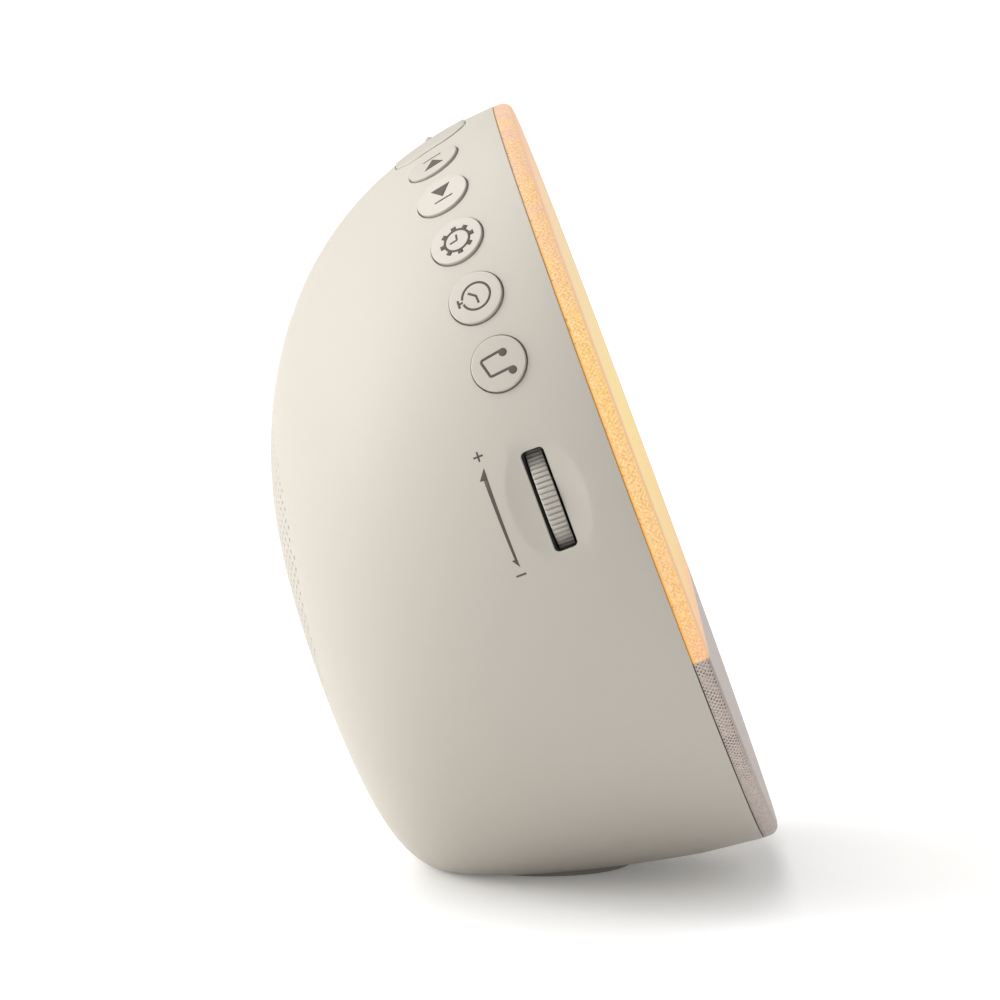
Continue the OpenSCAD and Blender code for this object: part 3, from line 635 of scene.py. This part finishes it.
YARN_PALE = (0.60, 0.51, 0.46)
YARN_GREY = (0.30, 0.29, 0.29)
# Painted shade in the gaps between the bare cloth's threads
GAP_SHADE = (0.085, 0.062, 0.052)
LIT_CLOTH = (0.09, 0.07, 0.05)
UNLIT = (0, 0, 0)


def level_line(y):
    """0 below the level line across the cloth and 1 above it, with a soft edge."""
    return y.step(-LIGHT_EDGE - 0.35, -LIGHT_EDGE + 0.35)


def woven():
    """Stretched linen cloth, lit from behind above a level line on the face.

    The weave is the product of a sine along each of two directions, which reads as threads that
    cross at 45 degrees, a pitch apart. Noise loosens it. The directions are the angle and the depth
    on the rim, x and y on the face. The glow is a ramp by height, paler on the face than on the
    rim, weaker on the face's margin and strongest along the hem. Below the line the bare cloth
    gets painted shade in the gaps between its threads, weaker towards the bottom, on the face and
    in patches."""
    f = Finish("woven_fabric", (0.42, 0.38, 0.34), 0.9, Sheen_Weight=0.1, Sheen_Roughness=0.5)
    at = f.panel_coords()
    x, y, z = f.split(at)
    radius = (x * x + y * y) ** 0.5
    face = z.step(COVER_DEPTH - 0.5, COVER_DEPTH - 0.05)
    margin = radius.step(MARGIN_R - 6, MARGIN_R + 6) * face
    hem = 1 - z.step(SEAM_GAP + 0.15, SEAM_GAP + 0.5)
    speck = f.noise(2.4, 3, at, 0.6).step(0.3, 0.7)
    cloud = f.noise(0.22, 3, at).step(0.35, 0.65)
    patch = f.noise(0.5, 2, at).step(0.4, 0.6)
    dots = f.noise(1.4, 1, at).step(0.62, 0.72)
    loose = f.noise(0.8, 2, at) * 3
    around = f.node("Math", {"operation": "ARCTAN2"}, (x, y)) * DISC_R
    a = around * (1 - face) + x * face
    b = z * (1 - face) + y * face
    turns = 2 * math.pi / (THREAD_PITCH * math.sqrt(2))
    weave = (a * turns + loose).sin() * (b * turns + loose).sin()
    thread = 0.5 + 0.5 * weave

    lit = level_line(y)
    height = (y + LIGHT_EDGE) / (DISC_R + LIGHT_EDGE)
    rim_glow = f.node("ValToRGB", {"stops": RIM_STOPS}, (height,))
    face_glow = f.node("ValToRGB", {"stops": FACE_STOPS}, (height,))
    rim_glow = f.mix(cloud * 0.4, rim_glow, GOLD)
    rim_glow = f.mix(0.85 - 0.65 * speck - 0.3 * thread, rim_glow, EMBER)
    rim_glow = f.mix(hem * 0.8 * (1 - y.step(48, 60)), rim_glow, HEM_AMBER)
    rim_glow = f.mix(hem * dots * 0.7, rim_glow, HEM_BROWN)
    face_glow = f.mix(margin, face_glow, MARGIN_PINK)
    face_glow = f.mix(0.22 - 0.22 * thread, face_glow, FACE_BROWN)
    glow = f.mix(face, rim_glow, face_glow)

    # Painted shade in the gaps between the bare cloth's threads: weaker towards the bottom, on the
    # face and in patches
    gap_shade_weight = (0.3 + 0.7 * y.step(-62, -46)) * (0.45 + 0.55 * patch) * (1 - 0.8 * face)
    gap_shade = weave.step(0.1, 0.65) * gap_shade_weight
    bare = f.mix(speck, YARN_DARK, YARN_PALE)
    bare = f.mix(face * 0.3, bare, YARN_GREY)
    bare = f.mix(gap_shade, bare, GAP_SHADE)
    f.color(f.mix(lit, bare, LIT_CLOTH))
    f.glow(f.mix(lit, UNLIT, glow), 1.0)
    f.bump(weave + speck, 0.35, FINE_DEEP)


woven()

LEAK_R0 = 74.0
LEAK_R1 = 74.3
LEAK_AMBER = (0.44, 0.21, 0.05)
LEAK_PALE = (0.34, 0.23, 0.14)


def seam():
    """The dark ring behind the cloth's hem: light leaks over its outermost part above the level
    line, paler towards the top."""
    f = Finish("seam_trim", (0.075, 0.05, 0.025), 0.6)
    x, y, _ = f.split(f.panel_coords())
    lit = level_line(y)
    warm = f.mix(y.step(35, 60), LEAK_AMBER, LEAK_PALE)
    f.glow(f.mix(lit * (x * x + y * y).step(LEAK_R0 ** 2, LEAK_R1 ** 2), UNLIT, warm), 1.0)
    f.rough(0.5 + 0.2 * f.noise(900))


seam()


# ---------------------------------------------------------------- rear shell

HOLE_SOFT = 0.1
RIM_SOFT = 0.1
RIM_SIDES = 480
KEY_SIDES = 56
JACK_SIDES = 48
HOLE_SIDES = 12
BASE_SIDES = 120
COARSE_STEP = 2.1
COARSE_CLEAR = 0.8
FINE_STEP = 0.75
FINE_CLEAR = 0.4
BACK_DEPTH = 40
NEAR_OPENING = 12
NO_HOLE = -1
OUTER_RHO = FROM_POLE[-1] - RIM_SOFT


class Opening:
    """A hole through the wall: its place, its outline grown by a distance, and its loop's start."""

    def __init__(self, at, outline, start=0):
        self.at = at
        self.outline = outline
        self.start = start


def dome_openings():
    """The openings for the round keys, the long key and the wheel."""
    def key(g):
        return circle(KEY_SIDES, KEY_R + KEY_GAP + g)

    def bar(g):
        return rounded(BAR_LEN + 2 * KEY_GAP, BAR_WID + 2 * KEY_GAP, BAR_CORNER + KEY_GAP, g,
                       12, 12)

    angles = [side * (KEY_FIRST + i * KEY_STEP) for side in (-1, 1) for i in range(len(KEY_NODES))]
    return ([Opening(ring_place(angle), key) for angle in angles]
            + [Opening(BAR_AT, bar), Opening(WHEEL_AT, slot_outline)])


def slot_outline(g):
    """The wheel's slot, grown outward by a distance."""
    return rounded(SLOT_LEN, SLOT_WID, SLOT_CORNER, g, 14, 6)


def jack_opening():
    """The plug opening: a level round hole, placed from a point near the dome's back."""
    origin = to_panel(np.zeros(3))
    at = (to_panel(np.array([0, JACK_BACK, JACK_Z])), np.array([1.0, 0, 0]),
          to_panel(np.array([0, 0, 1.0])) - origin, to_panel(np.array([0, 1.0, 0])) - origin)
    return Opening(at, lambda g: circle(JACK_SIDES, JACK_R + g))


def lattice(step, reach):
    """X and Y of a triangular lattice: rows a step times the sine of 60 degrees apart, every other
    one shifted by half a step."""
    i, j = np.meshgrid(np.arange(-reach, reach + 1), np.arange(-reach, reach + 1))
    return (i + 0.5 * (j % 2)) * step, j * step * math.sin(math.pi / 3)


def sound_holes():
    """Centres of the sound holes: a triangular lattice, its rows up the panel, inside a circle."""
    up, across = lattice(HOLE_PITCH, 2 * int(FIELD_R / HOLE_PITCH) + 4)
    x, y = across.T, up.T
    keep = np.hypot(x, y) < FIELD_R
    return np.column_stack([x[keep], y[keep] + FIELD_UP])


def base_loops():
    """Outlines under the clock: where the dome crosses heights near its flat base, each kept a
    little outside the one before it, and two close circles at the foot's recess."""
    middle = flatten(to_panel(np.zeros((1, 3))))[0]
    toward = circle(BASE_SIDES, 1.0)

    def search(lift, reach):
        def kept(distance):
            q = middle + toward * distance[:, None]
            w = to_world(dome_point(q)[0])
            near = (w[:, 2] < FOOT_H + lift) | (np.hypot(w[:, 0], w[:, 1]) < reach)
            return near & (np.hypot(q[:, 0], q[:, 1]) < FROM_POLE[-1] - 0.4)
        inner = halve(np.zeros(BASE_SIDES), np.full(BASE_SIDES, 60.0), 40, kept)[0]
        return middle + toward * inner[:, None]

    # Heights over the base, each with the least distance outside the recess
    lifts = ((0.7, 1.0), (0.3, 0.85), (0.1, 0.7), (-0.1, 0.55), (-0.3, 0.4), (-0.7, 0.25))
    return ([search(lift, RECESS_R + room) for lift, room in lifts]
            + [search(-100, RECESS_R + room) for room in (0.04, -0.04)])


class Pattern:
    """The dome's flat pattern: its outlines, and the number of the hole that each one bounds."""

    def __init__(self):
        self.points = []
        self.edges = []
        self.hole = []
        self.count = 0

    def add(self, q, hole, sides=0):
        """Adds one closed loop, or many of equal length, and returns where it starts."""
        start = self.count
        after = following(len(q), sides or len(q))
        self.points.append(q)
        self.edges.append(np.column_stack([np.arange(len(q)), after]) + start)
        self.hole.append(np.broadcast_to(hole, len(q)))
        self.count += len(q)
        return start

    def triangles(self, filling):
        """All points, and the triangles between them that lie in no hole, counter-clockwise."""
        flat = np.concatenate(self.points + filling)
        hole = np.concatenate(self.hole + [np.full(len(q), NO_HOLE) for q in filling])
        edges = np.concatenate(self.edges)
        found, _, tris = geometry.delaunay_2d_cdt(
            [Vector(p) for p in flat.tolist()], edges.tolist(), [], 0, 1e-6)[:3]
        assert len(found) == len(flat), (len(found), len(flat))
        tris = np.array([t[:] for t in tris])
        on = hole[tris]
        tris = tris[~((on[:, 0] >= 0) & (on[:, 0] == on[:, 1]) & (on[:, 1] == on[:, 2]))]
        a, b, c = (flat[tris[:, k]] for k in range(3))
        ab, ac = b - a, c - a
        turn = ab[:, 0] * ac[:, 1] - ab[:, 1] * ac[:, 0]
        return flat, np.where((turn > 0)[:, None], tris, tris[:, ::-1])


def near_dish(q, margin):
    """Whether points of the flat pattern are in the dish's ellipse, made wider by a margin, and
    their height over the wheel's place."""
    x, y, z = measure(dome_point(q)[0], WHEEL_AT)
    return (2 * x / (DISH_LEN + margin)) ** 2 + (2 * y / (DISH_WID + margin)) ** 2 < 1, z


def clear_of(q, fixed, openings, gap):
    """Points of the flat pattern that keep a gap from fixed ones and are in no opening."""
    keep = np.ones(len(q), bool)
    for part in np.array_split(fixed, max(1, len(fixed) // 1500)):
        keep &= ((q[:, None, 0] - part[None, :, 0]) ** 2
                 + (q[:, None, 1] - part[None, :, 1]) ** 2).min(1) > gap * gap
    for opening in openings:
        x, y, z = measure(dome_point(q)[0], opening.at)
        loop = opening.outline(HOLE_SOFT)
        half = loop.max(0)
        inside = (np.abs(x) < half[0]) & (np.abs(y) < half[1]) & (np.abs(z) < NEAR_OPENING)
        if len(loop) in (KEY_SIDES, JACK_SIDES):
            inside &= np.hypot(x, y) < half[0]
        keep &= ~inside
    return q[keep]


def fill_points(fixed, openings):
    """Points that fill the pattern: a coarse lattice all over and a fine one in the dish."""
    x, y = lattice(COARSE_STEP, int(OUTER_RHO / COARSE_STEP) + 2)
    coarse = np.column_stack([x.ravel(), y.ravel()])
    coarse = coarse[np.hypot(coarse[:, 0], coarse[:, 1]) < OUTER_RHO - COARSE_CLEAR]
    panel = dome_point(coarse)[0]
    on_back = panel[:, 2] < -BACK_DEPTH
    coarse = coarse[~((np.hypot(panel[:, 0], panel[:, 1] - FIELD_UP) < FIELD_R + 1.0) & on_back)]
    x, y = lattice(FINE_STEP, int(DISH_LEN * 0.6 / FINE_STEP) + 2)
    fine = np.column_stack([x.ravel(), y.ravel()]) + flatten(WHEEL_AT[0][None])
    fine = fine[near_dish(fine, 1.5)[0]]
    in_dish, z = near_dish(coarse, 2.5)
    coarse = coarse[~(in_dish & (z > -DISH_LEN / 4))]
    return [clear_of(coarse, fixed, openings, COARSE_CLEAR),
            clear_of(fine, fixed, openings, FINE_CLEAR)]


def make_shell():
    """The whole dome as one closed wall.

    A flat pattern of the dome is filled with triangles round every outline, then lifted onto the
    outer face and, reversed, onto the inner face. Rounded edges and walls join the two."""
    pattern = Pattern()
    rim_start = pattern.add(circle(RIM_SIDES, OUTER_RHO), NO_HOLE)
    straight = dome_openings()
    jack = jack_opening()
    openings = straight + [jack]
    for k, opening in enumerate(openings):
        edge = drop_on_dome(opening.outline(HOLE_SOFT), opening.at)
        opening.start = pattern.add(flatten(edge), k)
    holes = (sound_holes()[:, None, :] + circle(HOLE_SIDES, HOLE_R)[None]).reshape(-1, 2)
    numbers = np.arange(len(holes)) // HOLE_SIDES + len(openings)
    holes = flatten(drop_on_back(holes[:, 0], holes[:, 1]))
    hole_start = pattern.add(holes, numbers, HOLE_SIDES)
    for row in base_loops():
        pattern.add(row, NO_HOLE)
    flat, tris = pattern.triangles(fill_points(np.concatenate(pattern.points), openings))

    outside = skin(flat)
    inside = skin(flat, WALL)
    for opening in straight:
        p = drop_on_dome(opening.outline(0), opening.at)
        p = p - (dish(p)[:, None] + WALL) * opening.at[3]
        inside[opening.start:opening.start + len(p)] = to_world(p)
    total = len(flat)
    # Seen from outside the dome the pattern turns the other way, so outer faces are reversed
    faces = tris[:, ::-1].tolist() + (tris + total).tolist()
    vertices = [outside, inside]

    def join(low, high, count, sides=0, flip=True):
        """Quads between two loops, or between two runs of loops of equal length."""
        j = np.arange(count)
        after = following(count, sides or count)
        quads = np.stack([low + j, low + after, high + after, high + j], -1)
        faces.extend((quads[:, ::-1] if flip else quads).tolist())

    def wall(start, rows, flip):
        """Rows of points that lead from a loop of the outer face to the same one of the inner."""
        m = len(rows[0])
        first = sum(len(v) for v in vertices)
        vertices.extend(rows)
        chain = [start] + [first + k * m for k in range(len(rows))] + [start + total]
        for low, high in zip(chain[:-1], chain[1:]):
            join(low, high, m, flip=flip)

    quarter = np.linspace(0, math.pi / 2, 5)[1:]
    for opening in openings:
        rows = []
        for t in quarter:
            p = drop_on_dome(opening.outline(HOLE_SOFT * (1 - math.sin(t))), opening.at)
            p = p - dish(p)[:, None] * opening.at[3] - HOLE_SOFT * (1 - math.cos(t)) * opening.at[3]
            rows.append(to_world(p))
        if opening is jack:
            tube = rows[-1].copy()
            tube[:, 1] = JACK_MOUTH + JACK_OVERLAP
            rows.append(tube)
        wall(opening.start, rows, True)
    join(hole_start, hole_start + total, len(holes), HOLE_SIDES)
    # Rounded front edge and the narrow face against the dark seam
    rows = []
    for t in quarter:
        ring = circle(RIM_SIDES, DISC_R - RIM_SOFT * (1 - math.cos(t)))
        height = np.full(RIM_SIDES, -RIM_SOFT * (1 - math.sin(t)))
        rows.append(to_world(np.column_stack([ring, height])))
    wall(rim_start, rows, False)
    vertices = np.concatenate(vertices)
    # A zero normal leaves a point's normal to the mesh
    normals = np.zeros_like(vertices)
    normals[:total] = skin_normals(flat)
    add_piece("dome_shell", vertices, faces, "clock", "shell_plastic", normals=normals,
              replaces=("rear_shell",))


make_shell()


# ---------------------------------------------------------------- fabric cover

def cup_rows(inset, steps=10, across=24):
    """Section of the cover from its hem round the edge to the middle of its face, moved inward."""
    r = DISC_R - inset
    top = COVER_DEPTH - inset
    corner = COVER_ROUND - inset
    t = np.linspace(0, math.pi / 2, steps + 1)
    edge = [(r - corner + corner * math.cos(a), top - corner + corner * math.sin(a)) for a in t]
    inward = np.linspace(r - corner, 0.8, across)[1:]
    return [(r, SEAM_GAP)] + edge + [(x, top) for x in inward]


def make_cover():
    """The cloth: a closed skin, its outer face over the cup and its inner face just inside."""
    rows = rings(cup_rows(FABRIC_T)[::-1] + cup_rows(0.0), 360)
    cloth = add_loft("cloth_cover", to_world(rows), "clock", "woven_fabric",
                     replaces=("fabric_cover",))


make_cover()


# ---------------------------------------------------------------- keys

def cap_height(r):
    """Height of a key's crowned top at a distance from its axis."""
    return KEY_PROUD + KEY_CROWN * (1 - (r / KEY_R) ** 2)


def make_key(node, at):
    """A round key: skirt, rounded edge and crowned top as rings round its own axis."""
    top = KEY_R - KEY_EDGE
    lift = cap_height(0) - KEY_PROUD
    rows = [(KEY_R, KEY_SKIRT)]
    rows += [(top + KEY_EDGE * math.cos(t), KEY_PROUD - KEY_EDGE + KEY_EDGE * math.sin(t))
             for t in np.linspace(0, math.pi / 2, 9)]
    rows += [(r, KEY_PROUD + lift * (1 - (r / top) ** 2)) for r in np.linspace(top, 0.3, 10)[1:]]
    add_loft(node.replace("key_", "cap_"), placed(rings(rows, 64), at), node, "key_plastic",
             replaces=(node,))


def raised(xy, height, z):
    """Local points at a height over the height function of their surface."""
    return np.column_stack([xy, height(xy) + z])


def ribbon(path, width, height, closed):
    """Rows of points for a printed line: at each point of its path the four corners of a thin
    strip, square to the path and laid on the height function of the surface."""
    if closed:
        ahead = np.roll(path, -1, 0) - np.roll(path, 1, 0)
    else:
        ahead = np.gradient(path, axis=0)
    ahead /= np.linalg.norm(ahead, axis=1, keepdims=True)
    side = np.column_stack([-ahead[:, 1], ahead[:, 0]]) * width / 2
    corners = ((1, PRINT_LIFT), (-1, PRINT_LIFT), (-1, PRINT_SINK), (1, PRINT_SINK))
    return np.stack([raised(path + offset * side, height, z) for offset, z in corners], 1)


def dense(points, closed, step=0.35):
    """A polyline with points no further apart than a step."""
    points = np.asarray(points, float)
    if closed:
        points = np.concatenate([points, points[:1]])
    out = []
    for a, b in zip(points[:-1], points[1:]):
        m = max(1, int(math.ceil(np.linalg.norm(b - a) / step)))
        out.append(a + (b - a) * np.arange(m)[:, None] / m)
    if not closed:
        out.append(points[-1:])
    return np.concatenate(out)


def make_print(name, body, at, height, lines=(), fills=()):
    """Printed symbol on a surface: strips along lines, and flat convex fills as shrinking rings."""
    made = Build()
    for path, wide, closed in lines:
        rows = ribbon(dense(path, closed), wide, height, closed)
        made.loft(placed(rows, at), caps=not closed, flip=True)
    for fill in fills:
        edge = dense(fill, True)
        middle = edge.mean(0)
        sizes = [(1.0, PRINT_SINK)] + [(k, PRINT_LIFT) for k in (1.0, 0.66, 0.33, 0.04)]
        rows = [raised(middle + (edge - middle) * k, height, z) for k, z in sizes]
        made.loft(placed(rows, at))
    made.piece(name, body, "dark_trim", finish="print_ink")


def key_height(xy):
    """Height of a round key's top over local points."""
    return cap_height(np.hypot(xy[:, 0], xy[:, 1]))


# Symbols are drawn in millimetres in a key's place, x along the arc and y to the back

def line(*points, wide=0.45, closed=False):
    """One stroke of a symbol: its points, its width and whether it closes."""
    return points[0] if len(points) == 1 else points, wide, closed


def arc(centre, r, start, end, count=28):
    """Points on an arc between two angles in degrees."""
    a = np.radians(np.linspace(start, end, count))
    return np.column_stack([centre[0] + r * np.cos(a), centre[1] + r * np.sin(a)])


def spokes(centre, r0, r1, wide):
    """Eight short strokes that point away from a centre, evenly round it."""
    turns = np.arange(8) * 2 * math.pi / 8
    return [line((centre[0] + r0 * math.cos(a), centre[1] + r0 * math.sin(a)),
                 (centre[0] + r1 * math.cos(a), centre[1] + r1 * math.sin(a)), wide=wide)
            for a in turns]


def crescent(r):
    """A crescent's outline: an outer arc and a shifted inner one."""
    outer = arc((0, 0), r, 60, 300, 30)
    inner = arc((r * 0.62, 0), r * 0.98, 242, 118, 24)
    return np.concatenate([outer, inner])


def skip_symbol(way):
    """A triangle against a bar, pointing along or against the arc."""
    tip, base, bar = way * 0.85, way * -2.5, way * 1.75
    return dict(lines=[line((bar, -2.1), (bar, 1.7), wide=0.4)],
                fills=[[(base, -2.25), (tip, -0.2), (base, 1.85)][::way]])


GEAR_AT = (-0.2, -0.2)
TIMER_AT = (0.1, -0.25)
SYMBOLS = {
    "key_next": skip_symbol(1),
    "key_previous": skip_symbol(-1),
    "key_settings": dict(lines=[line(circle(48, 2.5) + GEAR_AT, wide=0.5, closed=True),
                                line((-0.31, 1.3), GEAR_AT, (1.2, -0.35), wide=0.4)]
                         + spokes(GEAR_AT, 2.6, 3.45, 1.05)),
    "key_timer": dict(lines=[line(arc(TIMER_AT, 2.75, 100, 440, 60)),
                             line((-0.75, 3.35), (0.95, 3.35)),
                             line((0.1, 3.2), (0.1, 2.5)),
                             line((1.36, 1.06), TIMER_AT, (-1.51, -0.36))]),
    "key_music": dict(lines=[line((-1.75, -2.1), (-1.85, 1.8), (-1.7, 2.15), (1.35, 2.95),
                                  (1.75, 2.7), (2.1, -1.4), wide=0.5)],
                      fills=[circle(20, 0.8) + [-2.33, -2.19], circle(20, 0.8) + [1.58, -1.49]]),
    "key_light": dict(lines=[line(circle(32, 1.2), closed=True)]
                      + spokes((0, 0), 1.9, 2.8, 0.45)),
    "key_louder": dict(lines=[line((-2, 0), (2, 0)), line((0, -2), (0, 2))]),
    "key_quieter": dict(lines=[line((-2, 0), (2, 0))]),
    "key_alarm": dict(lines=[line(circle(36, 2.1) + [0, -0.2], closed=True),
                             line((0, 1.0), (0, -0.2), (1.0, -0.2)),
                             line(arc((-1.7, 1.9), 0.9, 70, 210, 8)),
                             line(arc((1.7, 1.9), 0.9, -30, 110, 8))]),
    "key_sleep": dict(lines=[line(crescent(2.6), closed=True)]),
}

for side, names in ((1, KEY_NODES), (-1, FAR_NODES)):
    for i, node in enumerate(names):
        at = ring_place(side * (KEY_FIRST + i * KEY_STEP))
        make_key(node, at)
        make_print(node.replace("key_", "symbol_"), node, at, key_height, **SYMBOLS[node])


# ---------------------------------------------------------------- long top key

def bar_height(xy):
    """Height of the dome over points in the long key's place."""
    return dome_height(xy, BAR_AT)


def make_bar():
    """The long key: rounded rectangles that shrink over its edge and then across its top, each
    raised over the dome's own height."""
    def outline(shrink):
        return rounded(BAR_LEN, BAR_WID, BAR_CORNER, -shrink, 18, 14)

    levels = [(outline(0), KEY_SKIRT)]
    levels += [(outline(BAR_EDGE * (1 - math.cos(t))), BAR_PROUD - BAR_EDGE * (1 - math.sin(t)))
               for t in np.linspace(0, math.pi / 2, 8)]
    levels += [(outline(BAR_EDGE) * k, BAR_PROUD) for k in np.linspace(1, 0.03, 16)[1:]]
    rows = [raised(xy, bar_height, z) for xy, z in levels]
    add_loft("cap_snooze", placed(rows, BAR_AT), "snooze_bar", "key_plastic",
             replaces=("snooze_bar",))


def make_nub():
    """A small tactile ridge in the middle of the long key: rounded rectangles, half round in
    section."""
    rows = []
    for t in np.linspace(0, math.pi / 2, 7):
        xy = rounded(NUB_LEN, NUB_WID, NUB_CORNER, -NUB_SHRINK * math.sin(t) ** 2, 6, 6)
        rows.append(raised(xy, bar_height, BAR_PROUD - NUB_SUNK + NUB_HIGH * math.sin(t)))
    add_loft("nub_snooze", placed(rows, BAR_AT), "snooze_bar", "key_plastic")


make_bar()
make_nub()


# ---------------------------------------------------------------- wheel and its prints

def make_wheel():
    """The ribbed wheel: a section with crisp edges, carried round a radius that dips between
    the ribs as a bell curve."""
    axis_r = SURFACE_R - DISH_DEEP + WHEEL_PROUD - WHEEL_R
    a = math.radians(WHEEL_ANGLE)
    middle = np.array([-axis_r * math.sin(a), axis_r * math.cos(a), WHEEL_FORWARD - KEY_DEPTH])
    per_rib = 12
    count = WHEEL_RIBS * per_rib
    turn = np.arange(count) * 2 * math.pi / count
    phase = (np.arange(count) % per_rib) / per_rib
    groove = RIB_DEEP * np.exp(-((phase - 0.5) / RIB_GROOVE) ** 2)
    half = WHEEL_T / 2
    # Radius, half width and how much of the groove each ring of one side has, from the bore outward
    side = [(1.6, half, 0), (8.0, half, 0), (10.9, half, 0.5), (11.3, half - 0.04, 1),
            (11.44, half - 0.1, 1), (WHEEL_R, half - 0.22, 1)]
    rows = []
    for r, z, k in [(r, -z, k) for r, z, k in side] + side[::-1]:
        radius = r - k * groove
        rows.append(np.stack([radius * np.cos(turn), radius * np.sin(turn), np.full(count, z)], -1))
    add_loft("ribbed_wheel", to_world(middle + np.array(rows)), "dimmer", "wheel_rubber",
             caps=False, replaces=("dimmer_wheel",))


def make_shade_sleeve():
    """A thin black sleeve in the wheel's slot, a painted shade over the slot's inner wall: the
    slot's outline from just under the dish's face down past the wall, with a smaller outline inside
    it."""
    rows = []
    for grow, down in ((-0.02, SHADE_SLEEVE_END), (-0.02, SHADE_SLEEVE_TOP), (-0.1, SHADE_SLEEVE_TOP),
                       (-0.1, SHADE_SLEEVE_END)):
        p = drop_on_dome(slot_outline(grow), WHEEL_AT)
        rows.append(to_world(p - (dish(p)[:, None] + down) * WHEEL_AT[3]))
    add_loft("slot_shade_sleeve", np.array(rows), "clock", "soft_foam", caps=False)


def wheel_print(name, **symbol):
    """A print beside the wheel, on the dome."""
    make_print(name, "clock", WHEEL_AT, lambda xy: dome_height(xy, WHEEL_AT), **symbol)


make_wheel()
make_shade_sleeve()

# The range arrow's near edge is straight; it thins from its bright tip to its dim tip and has half
# a head at each
ARROW_V = 9.28
ARROW_HIGH = 9.25
ARROW_LOW = -9.6
wheel_print("print_brighter", lines=[line((10.55, 9.67), (12.41, 9.67), wide=0.34),
                                     line((11.48, 8.74), (11.48, 10.6), wide=0.34)])
wheel_print("print_dimmer", lines=[line((-10.96, 8.7), (-10.96, 10.65), wide=0.34)])
wheel_print("print_range", fills=[
    [(ARROW_HIGH - 2.0, ARROW_V), (ARROW_HIGH - 2.0, ARROW_V + 0.8),
     (ARROW_LOW + 1.2, ARROW_V + 0.46), (ARROW_LOW + 1.2, ARROW_V)],
    [(ARROW_HIGH, ARROW_V), (ARROW_HIGH - 2.05, ARROW_V + 1.55),
     (ARROW_HIGH - 2.15, ARROW_V + 0.79), (ARROW_HIGH - 2.15, ARROW_V)],
    [(ARROW_LOW, ARROW_V), (ARROW_LOW + 1.5, ARROW_V), (ARROW_LOW + 1.58, ARROW_V + 1.05)]])


# ---------------------------------------------------------------- finishes of the CAD nodes

# A node has the finish of its own slot, but for these
OTHER_FINISH = {"front_ring": "seam_trim", "display_box": "black_plastic",
                "dimmer_shaft": "pressed_steel"}
for row in frame["record"]["subparts"]:
    materials = frame["nodes"][row["node"]].data.materials
    materials.clear()
    materials.append(FINISHES[OTHER_FINISH.get(row["node"], row["material_slot"])])


# ---------------------------------------------------------------- floor, lights, camera

FLOOR_REACH = 300000
FLOOR_GLOW = 0.12
WORLD_STRENGTH = 0.42


def make_floor():
    """A broad floor at the foot's underside, an even grid. It gives off a faint, even light."""
    f = Finish("studio_floor", (0.88, 0.88, 0.88), 1.0)
    f.color(f.mix(f.noise(3, 2), (0.875, 0.875, 0.875), (0.885, 0.885, 0.885)))
    f.glow((1, 1, 1, 1), FLOOR_GLOW)
    s = np.linspace(-FLOOR_REACH, FLOOR_REACH, 9)
    x, y = np.meshgrid(s, s)
    points = np.stack([x, y, np.zeros_like(x)], -1).reshape(-1, 3) * MM
    mesh = bpy.data.meshes.new("studio_floor")
    mesh.from_pydata(points.tolist(), [], grid_faces(9, 9, closed=False))
    mesh.materials.append(f.material)
    floor = bpy.data.objects.new("studio_floor", mesh)
    bpy.context.scene.collection.objects.link(floor)


def soft_sun(name, azimuth, rise, spread, strength):
    """A broad, distant light at an azimuth and a height in degrees, seen from the clock."""
    a, b = math.radians(azimuth), math.radians(rise)
    toward = (math.cos(b) * math.cos(a), math.cos(b) * math.sin(a), math.sin(b))
    data = bpy.data.lights.new(name, "SUN")
    data.angle = math.radians(spread)
    data.energy = strength
    sun = bpy.data.objects.new(name, data)
    bpy.context.scene.collection.objects.link(sun)
    sun.rotation_euler = Vector(toward).to_track_quat("Z", "Y").to_euler()


make_floor()

# Azimuth runs from +X towards +Y: behind the clock is 90 degrees, its shown side 180
soft_sun("back_light", 90, 20, 40, 2.5)
soft_sun("top_light", 64, 64, 60, 1.95)
soft_sun("side_light", 160, 34, 40, 0.12)
soft_sun("low_light", 330, 12, 40, 1.7)

world = bpy.data.worlds.new("studio")
world.use_nodes = True
background = world.node_tree.nodes["Background"]
background.inputs["Color"].default_value = (1, 1, 1, 1)
background.inputs["Strength"].default_value = WORLD_STRENGTH
bpy.context.scene.world = world

CAMERA_TARGET = np.array([0.0, 8.661, 70.537])
CAMERA_RISE = math.radians(6.202)
CAMERA_SWING = math.radians(0.619)
CAMERA_DISTANCE = 900.0
SENSOR = 36.0
PIXELS = 1000
FOCAL_PIXELS = 4657.9
CLIP_END = 2000

toward = np.array([-math.cos(CAMERA_RISE) * math.cos(CAMERA_SWING),
                   -math.cos(CAMERA_RISE) * math.sin(CAMERA_SWING), math.sin(CAMERA_RISE)])
camera_data = bpy.data.cameras.new("camera")
camera_data.sensor_width = SENSOR
camera_data.lens = FOCAL_PIXELS * SENSOR / PIXELS
camera_data.clip_end = CLIP_END
camera = bpy.data.objects.new("camera", camera_data)
bpy.context.scene.collection.objects.link(camera)
camera.location = (CAMERA_TARGET + CAMERA_DISTANCE * toward) * MM
camera.rotation_euler = Vector(-toward).to_track_quat("-Z", "Y").to_euler()
bpy.context.scene.camera = camera
bpy.context.scene.view_settings.view_transform = "Standard"
